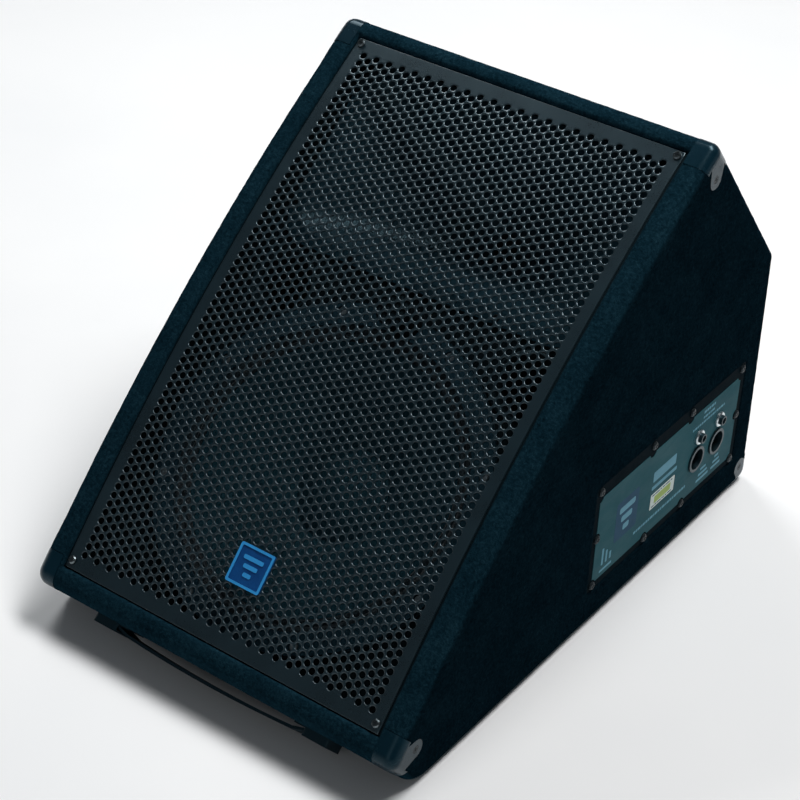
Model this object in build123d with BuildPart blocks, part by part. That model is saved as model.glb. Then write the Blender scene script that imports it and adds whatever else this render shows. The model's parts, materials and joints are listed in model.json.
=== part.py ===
from build123d import *
import os
from math import sin, cos, tan, radians, degrees, atan2, sqrt, hypot

# Stage monitor wedge: a two-way passive floor monitor with a 12 inch woofer.
# Origin: centre of the base, on the floor.  +Z up, the grille looks towards
# -Y and up, +X is the side that carries the input panel.  Millimetres.

# ------------------------------------------------------------------ driving dimensions
HALF_W = 189.5            # half width over the carpet
CARPET = 2.5              # carpet thickness
SIDE_T = 18.0             # side panel plywood
PANEL_T = 12.5            # top, rear, base, toe plywood
BAFFLE_T = 15.0
THETA = 41.16             # slope of the front from the floor, degrees
FRONT_L = 560.0           # straight length of the front, corner to corner
BOW = 19.6                # how far the front edges bow outward at mid length
DB = 22.0                 # baffle face below the straight front line
YO, ZO = -285.0, 46.85    # where lengths up the front are counted from
YA, ZA = -288.3, 43.02    # front bottom corner (sharp), 5 mm further down the same bow
YB, ZB = 136.6, 415.4     # front top corner (sharp)
YC, ZC = 275.4, 250.7     # rear top corner (sharp)
YD, ZD = 285.3, 0.0       # rear bottom corner (sharp)
YE, ZE = -250.65, 0.0     # toe corner on the floor (sharp)
R_A, R_B, R_C, R_D, R_E = 12.0, 10.0, 10.0, 13.0, 30.0
R_SIDE = 10.0             # rounding of the edges of both sides

WOOFER_Q = 180.0          # woofer centre, up the baffle from the bottom corner
WOOFER_R = 154.0
HORN_Q = 445.0
PORT_X, PORT_Q, PORT_R = 126.0, 318.0, 26.0

PLATE_Y0, PLATE_Y1, PLATE_Z0, PLATE_Z1 = -6.0, 249.0, 38.0, 150.0
PLATE_T = 2.0
JACK_Y = (171.0, 207.5)
JACK_Z = 107.5
SOCKET_Y = (170.5, 206.5)
SOCKET_Z = 83.5

STRAP_L = 247.0           # handle over its end caps
STRAP_W = 25.0
STRAP_T = 2.6
FINGER_GAP = 7.3          # strap's inner face above the carpet of the toe panel
STRAP_PULL = 2.0          # how far the strap lifts in its caps
CONE_TRAVEL = 5.0
HF_TRAVEL = 0.35

u = (cos(radians(THETA)), sin(radians(THETA)))        # up the front, in (y, z)
no = (-sin(radians(THETA)), cos(radians(THETA)))      # outward from the front

# The front plane: local x = +X, local y = up the front, local z = outward.
FRONT = Plane(origin=(0, YO, ZO), x_dir=(1, 0, 0), z_dir=(0, no[0], no[1]))
WOOF = Plane(origin=(0, YO + u[0] * WOOFER_Q, ZO + u[1] * WOOFER_Q), x_dir=(1, 0, 0), z_dir=(0, no[0], no[1]))
HORNP = Plane(origin=(0, YO + u[0] * HORN_Q, ZO + u[1] * HORN_Q), x_dir=(1, 0, 0), z_dir=(0, no[0], no[1]))

# The toe plane: local x = +X, local y = down the toe panel, local z = outward.
toe_len = hypot(YE - YA, ZE - ZA)
toe_d = ((YE - YA) / toe_len, (ZE - ZA) / toe_len)
toe_n = (toe_d[1], -toe_d[0])                         # outward: forward and down
TOE = Plane(origin=(0, YA, ZA), x_dir=(-1, 0, 0), z_dir=(0, toe_n[0], toe_n[1]))


# ------------------------------------------------------------------ profile helpers
def line_meet(p, d, q, e):
    """Crossing point of the lines p + s d and q + t e, in (y, z)."""
    den = d[0] * e[1] - d[1] * e[0]
    s = ((q[0] - p[0]) * e[1] - (q[1] - p[1]) * e[0]) / den
    return (p[0] + s * d[0], p[1] + s * d[1])


CORNERS = [(YA, ZA), (YB, ZB), (YC, ZC), (YD, ZD), (YE, ZE)]


def shrunk(t, toe=0.0):
    """The five profile corners with every side moved inward by t, the toe by a little more."""
    lines = []
    for i in range(5):
        p, q = CORNERS[i], CORNERS[(i + 1) % 5]
        L = hypot(q[0] - p[0], q[1] - p[1])
        d = ((q[0] - p[0]) / L, (q[1] - p[1]) / L)
        n = (d[1], -d[0])                              # inward for this winding
        ti = t + toe if i == 4 else t
        lines.append(((p[0] + n[0] * ti, p[1] + n[1] * ti), d))
    return [line_meet(*lines[i - 1], *lines[i]) for i in range(5)]


def bow_mid(a, b):
    """Top of the bowed front line between two shrunk corners a and b."""
    L = hypot(b[0] - a[0], b[1] - a[1])
    s = BOW * (L / FRONT_L) ** 2
    return ((a[0] + b[0]) / 2 + no[0] * s, (a[1] + b[1]) / 2 + no[1] * s)


def cabinet_solid(t, side_round=True):
    """The whole wedge as one closed body, every face moved inward by t."""
    a, b, c, d, e = shrunk(t)
    m = bow_mid(a, b)
    with BuildPart() as body:
        with BuildSketch(Plane.YZ.offset(-(HALF_W - t))):
            with BuildLine():
                ThreePointArc(a, m, b)
                Line(b, c)
                Line(c, d)
                Line(d, e)
                Line(e, a)
            make_face()
        extrude(amount=2 * (HALF_W - t))
        # cross edges first, then the long edges of both sides
        for pt, r in ((a, R_A), (b, R_B), (c, R_C), (d, R_D), (e, R_E)):
            pick = body.edges().filter_by(Axis.X).sort_by_distance(Vector(0, pt[0], pt[1]))[0]
            fillet(pick, radius=r - t)
        if side_round:
            for sx in (-1, 1):
                xs = sx * (HALF_W - t)
                rim = body.faces().sort_by(Axis.X)[0 if sx < 0 else -1].edges()
                fillet(rim, radius=R_SIDE - t)
    return body.part




def fq(q, d):
    """(y, z) of the point q up the front and d outward from its straight line."""
    return (YO + u[0] * q + no[0] * d, ZO + u[1] * q + no[1] * d)


BOW_R = FRONT_L ** 2 / (8 * BOW) + BOW / 2


def bow_d(q, t):
    """Outward distance of the bowed front, moved inward by t, at q."""
    return sqrt((BOW_R - t) ** 2 - (q - FRONT_L / 2) ** 2) - (BOW_R - BOW)


def half_plane(p):
    """Sketch plane for revolving about a plane's own normal: (radius, height)."""
    z = p.z_dir
    return Plane(origin=p.origin, x_dir=(1, 0, 0), z_dir=(0, -z.Z, z.Y))


def turned(p, pts):
    """A closed (radius, height) outline revolved about the plane's normal."""
    with BuildPart() as t:
        with BuildSketch(half_plane(p)):
            with BuildLine():
                Polyline(*pts, close=True)
            make_face()
        revolve(axis=Axis(p.origin, p.z_dir))
    return t.part


def screw(head_r, head_h, shank_r, shank_l, sunk=False, cross=1.0):
    """A screw along +Z: a pan head stands on z = 0, a sunk head ends there."""
    with BuildPart() as s:
        with BuildSketch(Plane.XZ):
            with BuildLine():
                if sunk:
                    Polyline((0, 0), (head_r, 0), (shank_r, -head_h), (shank_r, -shank_l),
                             (0, -shank_l - shank_r), close=True)
                else:
                    Polyline((0, head_h), (head_r * 0.72, head_h), (head_r, head_h * 0.5), (head_r, 0),
                             (shank_r, 0), (shank_r, -shank_l), (0, -shank_l - shank_r), close=True)
            make_face()
        revolve(axis=Axis.Z)
        top = 0 if sunk else head_h
        with Locations((0, 0, top)):
            Box(head_r * 1.15, 0.9 * cross, 1.8 * cross, mode=Mode.SUBTRACT)
            Box(0.9 * cross, head_r * 1.15, 1.8 * cross, mode=Mode.SUBTRACT)
    return s.part


def on_plane(p, x, y, z=0.0):
    """A location on a plane, at local x, y, z, facing along its normal."""
    return Location(p) * Location((x, y, z))


os.makedirs("parts", exist_ok=True)


def save(builder, label):
    builder.part.label = label
    export_step(builder.part, "parts/" + label + ".step")


# cabinet envelopes: over the carpet, over the wood, and over the corner protectors
outer_body = cabinet_solid(0.0)
wood_body = cabinet_solid(CARPET)
PROT_T = 0.35                            # protectors sit in cut-outs of the carpet, this much proud of it
guard_body = cabinet_solid(-PROT_T)

IN_X = HALF_W - CARPET - SIDE_T          # inner face of the side panels
INNER = shrunk(CARPET + PANEL_T, 2.5)    # inner faces of the other panels; the toe is 15 mm
a_i, b_i, c_i, d_i, e_i = INNER
Q_LO, Q_HI = 12.5, FRONT_L - CARPET - PANEL_T
LINER = 2.0                              # carpet turned in round the front opening
WELL_X = IN_X - LINER
WELL_LO, WELL_HI = Q_LO + LINER, Q_HI - 1.4


def far(i_pt, o_pt, k=3.0):
    return (i_pt[0] + k * (o_pt[0] - i_pt[0]), i_pt[1] + k * (o_pt[1] - i_pt[1]))


lip = hypot(b_i[0] - c_i[0], b_i[1] - c_i[1])
b_front = (b_i[0] + (b_i[0] - c_i[0]) * 55 / lip, b_i[1] + (b_i[1] - c_i[1]) * 55 / lip)   # top panel's inner face, run out past the front
lip = hypot(a_i[0] - e_i[0], a_i[1] - e_i[1])
a_front = (a_i[0] + (a_i[0] - e_i[0]) * 55 / lip, a_i[1] + (a_i[1] - e_i[1]) * 55 / lip)
C_far, D_far, E_far = far(c_i, (YC, ZC)), far(d_i, (YD, ZD)), far(e_i, (YE, ZE), 5.0)

# ------------------------------------------------------------------ fastener positions
# corner protectors: (sharp corner, directions along its two edges) in (y, z)
GUARDS = {
    "corners_front_top": ((YB, ZB), (-u[0], -u[1]), (-no[0], -no[1]), 23.0, 23.0),
    "corners_front_bottom": ((YA, ZA), (u[0], u[1]), (-no[0], -no[1]), 25.0, 21.0),
    "corners_rear_bottom": ((YD, ZD), (0.0, 1.0), (-1.0, 0.0), 20.0, 18.0),
}
GUARD_PATCH_X, GUARD_PATCH_L, GUARD_BAND = HALF_W - IN_X, 28.0, 7.0
GUARD_FACE_X = HALF_W - 12.0
guard_screw_planes = []                  # where each protector screw's head sits, facing out
for g_name, (gc, e1, e2, h1, h2) in GUARDS.items():
    hy, hz = gc[0] + e1[0] * h1 + e2[0] * h2, gc[1] + e1[1] * h1 + e2[1] * h2
    if g_name == "corners_rear_bottom":
        face_x = HALF_W - 14.6
        fy, fz, fn = YD - 0.8, 19.0, (cos(radians(2.27)), sin(radians(2.27)))
    else:
        face_x = GUARD_FACE_X
        fy, fz, fn = gc[0] + e2[0] * 19.0, gc[1] + e2[1] * 19.0, (-e1[0], -e1[1])
    for sx in (-1, 1):
        guard_screw_planes.append(Plane(origin=(sx * (HALF_W + PROT_T), hy, hz), x_dir=(0, 1, 0), z_dir=(sx, 0, 0)))
        guard_screw_planes.append(Plane(origin=(sx * face_x, fy + fn[0] * PROT_T, fz + fn[1] * PROT_T),
                                        x_dir=(1, 0, 0), z_dir=(0, fn[0], fn[1])))

PLATE_SCREWS = [(y, z) for y in (1.0, 87.0, 152.0, 242.0) for z in (44.0, 144.0)] + [(1.0, 94.0), (242.0, 94.0)]
GRILLE_SCREWS = [(sx * 160.2, q) for sx in (-1, 1) for q in (23.0, 537.4)]
HORN_SCREWS = [(sx * 151.0, q) for sx in (-1, 1) for q in (-56.0, 56.0)] + [(sx * 75.0, q) for sx in (-1, 1) for q in (-85.0, 85.0)]
WOOFER_SCREW_R = 145.5
STRAP_S = 28.0                           # middle of the strap, down the toe panel
CAP_SCREW_X = 110.0

# ------------------------------------------------------------------ plywood box
CUT_Y0, CUT_Y1, CUT_Z0, CUT_Z1 = 7.0, 236.0, 51.0, 137.0

with BuildPart() as side_panel_right:
    add(wood_body)
    with Locations((IN_X + 50, 0, 200)):
        Box(100, 700, 600, mode=Mode.INTERSECT)
    with Locations((IN_X + 10, (CUT_Y0 + CUT_Y1) / 2, (CUT_Z0 + CUT_Z1) / 2)):
        Box(60, CUT_Y1 - CUT_Y0, CUT_Z1 - CUT_Z0, mode=Mode.SUBTRACT)
    for (y, z) in PLATE_SCREWS:
        with Locations(Location((IN_X + SIDE_T, y, z), (0, 90, 0))):
            Cylinder(1.75, 32, mode=Mode.SUBTRACT)
    for gp in guard_screw_planes:
        if gp.origin.X > 0:
            with Locations(Location(gp)):
                Cylinder(1.85, 44, mode=Mode.SUBTRACT)
save(side_panel_right, "side_panel_right")

with BuildPart() as side_panel_left:
    add(wood_body)
    with Locations((-IN_X - 50, 0, 200)):
        Box(100, 700, 600, mode=Mode.INTERSECT)
    for gp in guard_screw_planes:
        if gp.origin.X < 0:
            with Locations(Location(gp)):
                Cylinder(1.85, 44, mode=Mode.SUBTRACT)
save(side_panel_left, "side_panel_left")


def panel(points):
    with BuildPart() as p:
        with BuildSketch(Plane.YZ.offset(-IN_X)):
            with BuildLine():
                Polyline(*points, close=True)
            make_face()
        extrude(amount=2 * IN_X)
        add(wood_body, mode=Mode.INTERSECT)
    return p.part


with BuildPart() as top_panel:
    add(panel([b_front, c_i, C_far, fq(Q_HI + 90, 40)]))
save(top_panel, "top_panel")

with BuildPart() as rear_panel:
    add(panel([c_i, C_far, D_far, d_i]))
save(rear_panel, "rear_panel")

with BuildPart() as base_panel:
    add(panel([d_i, D_far, E_far, e_i]))
save(base_panel, "base_panel")

with BuildPart() as toe_panel:
    add(panel([e_i, E_far, fq(-90, 40), a_front]))
    for sx in (-1, 1):
        with Locations(on_plane(TOE, sx * CAP_SCREW_X, STRAP_S, -10)):
            Cylinder(2.25, 40, mode=Mode.SUBTRACT)
save(toe_panel, "toe_panel")

with BuildPart() as baffle:
    with BuildSketch(FRONT.offset(-DB)):
        with Locations((0, (Q_LO + Q_HI - 0.7) / 2)):
            Rectangle(2 * IN_X, Q_HI - Q_LO - 0.9)
        with Locations((0, WOOFER_Q)):
            Circle(142.0, mode=Mode.SUBTRACT)
            with PolarLocations(WOOFER_SCREW_R, 8, start_angle=22.5):
                Circle(2.25, mode=Mode.SUBTRACT)
        with Locations((0, HORN_Q)):
            RectangleRounded(294, 164, 26, mode=Mode.SUBTRACT)
            with Locations(*HORN_SCREWS):
                Circle(1.85, mode=Mode.SUBTRACT)
        with Locations((-PORT_X, PORT_Q), (PORT_X, PORT_Q)):
            Circle(PORT_R + 2.5, mode=Mode.SUBTRACT)
    extrude(amount=-BAFFLE_T)
save(baffle, "baffle")

BAT = 14.0
with BuildPart() as baffle_battens:
    with BuildSketch(FRONT.offset(-DB - BAFFLE_T)):
        with Locations((-IN_X + BAT / 2, (Q_LO + Q_HI) / 2), (IN_X - BAT / 2, (Q_LO + Q_HI) / 2)):
            Rectangle(BAT, Q_HI - Q_LO - 2 * BAT - 4)
        with Locations((0, Q_HI - 1.2 - BAT / 2)):
            Rectangle(2 * IN_X, BAT)
        with Locations((0, Q_LO + 0.1 + BAT / 2)):
            Rectangle(150, BAT)
    extrude(amount=-BAT)
save(baffle_battens, "baffle_battens")

# ------------------------------------------------------------------ carpet
with BuildPart() as well:
    with BuildSketch(FRONT.offset(-DB)):
        with Locations((0, (WELL_LO + WELL_HI) / 2)):
            Rectangle(2 * WELL_X, WELL_HI - WELL_LO)
    extrude(amount=DB + 45)

# ------------------------------------------------------------------ corner protectors, let into the carpet
guard_cuts = []
for g_name, (gc, e1, e2, h1, h2) in GUARDS.items():
    L_, W_ = GUARD_PATCH_L, GUARD_BAND

    def ab(a, b):
        return (gc[0] + e1[0] * a + e2[0] * b, gc[1] + e1[1] * a + e2[1] * b)

    with BuildPart() as outline:
        for sx in (-1, 1):
            with BuildSketch(Plane.YZ.offset(sx * (HALF_W - GUARD_PATCH_X))):
                with BuildLine():
                    Polyline(ab(-9, -9), ab(L_, -9), ab(L_, W_), ab(W_, W_), ab(W_, L_), ab(-9, L_), close=True)
                make_face()
            extrude(amount=sx * (GUARD_PATCH_X + 6))
            with BuildSketch(Plane.YZ.offset(sx * (HALF_W - 5))):
                with Locations(ab(h1, h2)):
                    Circle(9.0)
                with Locations(ab(10, 10)):
                    Circle(12.0)
                with BuildLine():
                    Polyline(ab(h1 + 6.4, h2 - 6.4), ab(h1 - 6.4, h2 + 6.4), ab(0, 17), ab(17, 0), close=True)
                make_face()
            extrude(amount=sx * 11)
    guard_cuts.append(outline.part)

    with BuildPart() as guard:
        add(outline.part)
        add(guard_body, mode=Mode.INTERSECT)
        add(wood_body, mode=Mode.SUBTRACT)
        with Locations((0, 0, -50)):
            Box(800, 900, 100, mode=Mode.SUBTRACT)
        # the front opening stays clear
        add(well.part, mode=Mode.SUBTRACT)
        for gp in guard_screw_planes:
            if hypot(gp.origin.Y - gc[0], gp.origin.Z - gc[1]) < 50:
                with BuildSketch(gp.offset(0.05)):
                    Circle(3.75)
                extrude(amount=-2.05, taper=44, mode=Mode.SUBTRACT)
                with Locations(Location(gp)):
                    Cylinder(1.95, 14, mode=Mode.SUBTRACT)
    print(g_name, len(guard.part.solids()), round(guard.part.volume), guard.part.is_valid)
    save(guard, g_name)

with BuildPart() as front_liner:
    with BuildSketch(FRONT.offset(-DB)):
        with Locations((0, (Q_LO + Q_HI) / 2)):
            Rectangle(2 * IN_X, Q_HI - Q_LO)
    extrude(amount=DB + 45)
    add(well.part, mode=Mode.SUBTRACT)
    add(outer_body, mode=Mode.INTERSECT)
    add(top_panel.part, mode=Mode.SUBTRACT)
    add(toe_panel.part, mode=Mode.SUBTRACT)

with BuildPart() as skin:
    add(outer_body)
    add(wood_body, mode=Mode.SUBTRACT)
    add(well.part, mode=Mode.SUBTRACT)
    for cut in guard_cuts:
        add(cut, mode=Mode.SUBTRACT)
    add(front_liner.part)

with BuildPart() as carpet_wrap:
    add(skin.part)
    with Locations((0, 0, 200)):
        Box(2 * WELL_X, 800, 700, mode=Mode.INTERSECT)
    for sx in (-1, 1):
        with Locations(on_plane(TOE, sx * CAP_SCREW_X, STRAP_S, -2)):
            Cylinder(2.7, 12, mode=Mode.SUBTRACT)
save(carpet_wrap, "carpet_wrap")

with BuildPart() as carpet_right:
    add(skin.part)
    with Locations((WELL_X + 50, 0, 200)):
        Box(100, 800, 700, mode=Mode.INTERSECT)
    with Locations((HALF_W, (PLATE_Y0 + PLATE_Y1) / 2, (PLATE_Z0 + PLATE_Z1) / 2)):
        Box(3 * CARPET, PLATE_Y1 - PLATE_Y0, PLATE_Z1 - PLATE_Z0, mode=Mode.SUBTRACT)
    for gp in guard_screw_planes:
        if gp.origin.X > 0:
            with Locations(Location(gp)):
                Cylinder(2.2, 16, mode=Mode.SUBTRACT)
save(carpet_right, "carpet_right")

with BuildPart() as carpet_left:
    add(skin.part)
    with Locations((-WELL_X - 50, 0, 200)):
        Box(100, 800, 700, mode=Mode.INTERSECT)
    for gp in guard_screw_planes:
        if gp.origin.X < 0:
            with Locations(Location(gp)):
                Cylinder(2.2, 16, mode=Mode.SUBTRACT)
save(carpet_left, "carpet_left")

# ------------------------------------------------------------------ screws of the corner protectors
guard_screw = screw(3.6, 1.9, 1.7, 9.5, sunk=True, cross=0.7)
with BuildPart() as corner_screws:
    for gp in guard_screw_planes:
        add(guard_screw.moved(Location(gp)))
save(corner_screws, "corner_screws")

# ------------------------------------------------------------------ grille and what holds it
GR_T0, GR_T1 = 2.5, 4.0                  # grille faces below the bowed front
GR_Q0, GR_Q1, GR_X = 16.0, 542.3, 165.0


def bowed_slab(x0, x1, q0, q1, t, d_bottom=None, t_back=None):
    """Slab between x0 and x1 under the bowed front: down to a flat depth or to a second bow."""
    qm = (q0 + q1) / 2
    with BuildPart() as p:
        with BuildSketch(Plane.YZ.offset(x0)):
            with BuildLine():
                ThreePointArc(fq(q0, bow_d(q0, t)), fq(qm, bow_d(qm, t)), fq(q1, bow_d(q1, t)))
                if t_back is None:
                    Polyline(fq(q1, bow_d(q1, t)), fq(q1, d_bottom), fq(q0, d_bottom), fq(q0, bow_d(q0, t)))
                else:
                    Line(fq(q1, bow_d(q1, t)), fq(q1, bow_d(q1, t_back)))
                    ThreePointArc(fq(q1, bow_d(q1, t_back)), fq(qm, bow_d(qm, t_back)), fq(q0, bow_d(q0, t_back)))
                    Line(fq(q0, bow_d(q0, t_back)), fq(q0, bow_d(q0, t)))
            make_face()
        extrude(amount=x1 - x0)
    return p.part


with BuildPart() as grille:
    add(bowed_slab(-GR_X, GR_X, GR_Q0, GR_Q1, GR_T0, t_back=GR_T1))
    for (x, q) in GRILLE_SCREWS:
        with Locations(on_plane(FRONT, x, q)):
            Cylinder(2.3, 60, mode=Mode.SUBTRACT)
save(grille, "grille")

with BuildPart() as grille_rails:
    for sx in (-1, 1):
        x0, x1 = (157.2, WELL_X) if sx > 0 else (-WELL_X, -157.2)
        add(bowed_slab(x0, x1, GR_Q0, GR_Q1, GR_T1, d_bottom=-DB))
    for (x, q) in GRILLE_SCREWS:
        with Locations(on_plane(FRONT, x, q)):
            Cylinder(1.95, 60, mode=Mode.SUBTRACT)
save(grille_rails, "grille_rails")

g_screw = screw(3.6, 2.3, 1.8, 14.0)
with BuildPart() as grille_screws:
    for (x, q) in GRILLE_SCREWS:
        add(g_screw.moved(on_plane(FRONT, x, q, bow_d(q, GR_T0) + 0.5)))
save(grille_screws, "grille_screws")

BADGE_Q, BADGE = 85.0, 34.5
bd = bow_d(BADGE_Q, GR_T0)
tilt = degrees(atan2(FRONT_L / 2 - BADGE_Q, BOW_R - GR_T0))
with BuildPart() as badge:
    with BuildSketch():
        RectangleRounded(BADGE, BADGE, 2.0)
    extrude(amount=1.6)
    with BuildSketch(Plane.XY.offset(1.6)):
        RectangleRounded(BADGE, BADGE, 2.0)
        RectangleRounded(BADGE - 4.4, BADGE - 4.4, 1.2, mode=Mode.SUBTRACT)
    extrude(amount=0.7)
    with BuildSketch(Plane.XY.offset(1.6)):
        for i, w in enumerate((20.0, 14.0, 8.0)):
            with Locations((0, 7.0 - 7.0 * i)):
                RectangleRounded(w, 3.6, 1.2)
    extrude(amount=0.5)
with BuildPart() as badge_placed:
    add(badge.part.moved(on_plane(FRONT, 0, BADGE_Q, bd + 0.12) * Location((0, 0, 0), (tilt, 0, 0))))
save(badge_placed, "badge")

with BuildPart() as grille_damper:
    with BuildSketch(FRONT.offset(-15.0)):
        with Locations((4.0, 327.0)):
            Circle(15.5)
    extrude(amount=15.0 + bow_d(327.0, GR_T1) - 0.6)
    with BuildSketch(FRONT.offset(-DB)):
        with Locations((4.0, 327.0)):
            Circle(15.5)
        with Locations((0, WOOFER_Q)):
            Circle(WOOFER_R + 0.3, mode=Mode.SUBTRACT)
    extrude(amount=7.0)
save(grille_damper, "grille_damper")

with BuildPart() as port_tubes:
    for sx in (-1, 1):
        add(turned(Plane(origin=FRONT.origin + FRONT.x_dir * sx * PORT_X + FRONT.y_dir * PORT_Q, x_dir=(1, 0, 0), z_dir=FRONT.z_dir),
                   [(PORT_R, -95), (PORT_R + 2.3, -95), (PORT_R + 2.3, -DB), (31.0, -DB), (31.0, -DB + 1.6),
                    (29.0, -DB + 2.2), (PORT_R + 1.0, -DB - 1.0), (PORT_R, -DB - 5.0)]))
save(port_tubes, "port_tubes")

# ------------------------------------------------------------------ woofer
with BuildPart() as woofer_basket:
    add(turned(WOOF, [(154, -19), (154, -22), (140, -22), (138.5, -34), (73, -90), (64, -90), (64, -104), (42, -104),
                      (42, -102), (62, -102), (62, -88), (71.5, -88), (136, -34), (137, -21), (131, -21), (131, -19)]))
    with BuildSketch(WOOF.offset(-86)):
        with PolarLocations(0, 6, start_angle=30):
            with BuildLine():
                Polyline((79, -12), (134, -42), (134, 42), (79, 12), close=True)
            make_face()
    extrude(amount=44, mode=Mode.SUBTRACT)
    with Locations(*[on_plane(WOOF, WOOFER_SCREW_R * cos(radians(22.5 + 45 * k)), WOOFER_SCREW_R * sin(radians(22.5 + 45 * k)), -20) for k in range(8)]):
        Cylinder(2.5, 12, mode=Mode.SUBTRACT)
save(woofer_basket, "woofer_basket")

with BuildPart() as woofer_gasket:
    add(turned(WOOF, [(134, -15), (153, -15), (153, -19), (141, -19), (141, -18), (134, -18)]))
    with Locations(*[on_plane(WOOF, WOOFER_SCREW_R * cos(radians(22.5 + 45 * k)), WOOFER_SCREW_R * sin(radians(22.5 + 45 * k)), -17) for k in range(8)]):
        Cylinder(4.9, 12, mode=Mode.SUBTRACT)
save(woofer_gasket, "woofer_gasket")

w_screw = screw(4.4, 3.4, 2.1, 22.0)
with BuildPart() as woofer_screws:
    for k in range(8):
        a = radians(22.5 + 45 * k)
        add(w_screw.moved(on_plane(WOOF, WOOFER_SCREW_R * cos(a), WOOFER_SCREW_R * sin(a), -19.0)))
save(woofer_screws, "woofer_screws")

with BuildPart() as woofer_surround:
    add(turned(WOOF, [(121.2, -22.0), (123.2, -20.0), (125.2, -20.0), (127.2, -22.0), (129.2, -19.4), (131.0, -18.0), (140, -18.0),
                      (140, -19.0), (130.9, -19.0), (129.8, -20.6), (127.2, -23.4), (125.0, -21.4), (123.4, -21.4), (121.2, -23.4)]))
save(woofer_surround, "woofer_surround")

with BuildPart() as woofer_cone:
    with BuildSketch(half_plane(WOOF)):
        with BuildLine():
            ThreePointArc((26.8, -75.5), (73.0, -53.0), (119.5, -23.0))
            Polyline((119.5, -23.0), (120.8, -23.0), (120.8, -24.2), (119.3, -24.2))
            ThreePointArc((119.3, -24.2), (72.6, -54.2), (26.8, -76.9))
            Line((26.8, -76.9), (26.8, -75.5))
        make_face()
    revolve(axis=Axis(WOOF.origin, WOOF.z_dir))
save(woofer_cone, "woofer_cone")

with BuildPart() as woofer_dust_cap:
    dome = [(42.0 * k / 8, -53.0 - 14.8 * (k / 8) ** 2) for k in range(9)]
    add(turned(WOOF, dome + [(r - 0.3 * (r > 0), d - 0.9) for (r, d) in reversed(dome)]))
save(woofer_dust_cap, "woofer_dust_cap")

with BuildPart() as voice_coil_former:
    add(turned(WOOF, [(25.3, -73.0), (25.8, -73.0), (25.8, -114.0), (25.3, -114.0)]))
save(voice_coil_former, "voice_coil_former")

with BuildPart() as voice_coil_winding:
    add(turned(WOOF, [(25.8, -101.0), (26.5, -101.0), (26.5, -113.0), (25.8, -113.0)]))
save(voice_coil_winding, "voice_coil_winding")

with BuildPart() as woofer_spider:
    add(turned(WOOF, [(26.2, -87.0), (31, -85.2), (36, -87.0), (41, -85.2), (46, -87.0), (51, -85.2), (56, -87.0), (61, -87.0), (70.8, -87.0),
                      (70.8, -88.0), (61, -88.0), (56, -88.0), (51, -86.2), (46, -88.0), (41, -86.2), (36, -88.0), (31, -86.2), (26.2, -88.0)]))
save(woofer_spider, "woofer_spider")

with BuildPart() as woofer_top_plate:
    add(turned(WOOF, [(27.3, -104), (62, -104), (62, -110), (27.3, -110)]))
save(woofer_top_plate, "woofer_top_plate")

with BuildPart() as woofer_magnet:
    add(turned(WOOF, [(36, -110), (65, -110), (66, -111), (66, -129), (65, -130), (36, -130)]))
save(woofer_magnet, "woofer_magnet")

with BuildPart() as woofer_back_plate:
    add(turned(WOOF, [(7, -103), (23.6, -103), (24.4, -104), (24.4, -130), (61, -130), (61, -135), (59, -137), (7, -137)]))
save(woofer_back_plate, "woofer_back_plate")

with BuildPart() as woofer_terminals:
    with BuildSketch(WOOF.offset(-102)):
        with Locations((67.4, 0)):
            Rectangle(6.6, 24)
        Circle(64.1, mode=Mode.SUBTRACT)
    extrude(amount=9)
    for y in (-7, 7):
        with Locations(on_plane(WOOF, 70.0, y, -95.5)):
            Box(5, 6.3, 0.9)
save(woofer_terminals, "woofer_terminals")

# ------------------------------------------------------------------ horn and its driver
with BuildPart() as horn:
    with BuildSketch(HORNP.offset(-DB)):
        RectangleRounded(310, 180, 30)
    extrude(amount=3.5)
    for d0, r0, d1, r1 in ((-DB, (292, 162, 25), -48, (230, 118, 22)), (-48, (230, 118, 22), -85, (126, 86, 22)),
                           (-85, (126, 86, 22), -113, (44, 44, 21.9))):
        with BuildSketch(HORNP.offset(d0)):
            RectangleRounded(*r0)
        with BuildSketch(HORNP.offset(d1)):
            RectangleRounded(*r1)
        loft(ruled=True)
    with BuildSketch(HORNP.offset(-112)):
        Circle(44)
    extrude(amount=-6)
    for d0, r0, d1, r1 in ((-DB + 3.5, (287, 157, 23), -48, (224, 112, 19)), (-48, (224, 112, 19), -85, (120, 80, 19)),
                           (-85, (120, 80, 19), -118, (25.4, 25.4, 12.65))):
        with BuildSketch(HORNP.offset(d0)):
            RectangleRounded(*r0)
        with BuildSketch(HORNP.offset(d1)):
            RectangleRounded(*r1)
        loft(ruled=True, mode=Mode.SUBTRACT)
    with Locations(*[on_plane(HORNP, x, y, -DB) for (x, y) in HORN_SCREWS]):
        Cylinder(2.0, 20, mode=Mode.SUBTRACT)
    with Locations(on_plane(HORNP, 0, 36, -115), on_plane(HORNP, 0, -36, -115)):
        Cylinder(3.2, 10, mode=Mode.SUBTRACT)
print("horn", len(horn.part.solids()), horn.part.is_valid)
save(horn, "horn")

h_screw = screw(3.2, 2.2, 1.75, 16.0)
with BuildPart() as horn_screws:
    for (x, y) in HORN_SCREWS:
        add(h_screw.moved(on_plane(HORNP, x, y, -DB + 3.5)))
save(horn_screws, "horn_screws")

with BuildPart() as hf_driver_body:
    add(turned(HORNP, [(12.7, -118), (44, -118), (44, -150), (27, -150), (27, -138), (23.4, -138), (23.4, -130.5), (21.2, -130.5),
                       (21.2, -138), (12.7, -138)]))
    with Locations(on_plane(HORNP, 0, 36, -118), on_plane(HORNP, 0, -36, -118)):
        Cylinder(3.0, 40, mode=Mode.SUBTRACT)
save(hf_driver_body, "hf_driver_body")

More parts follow.
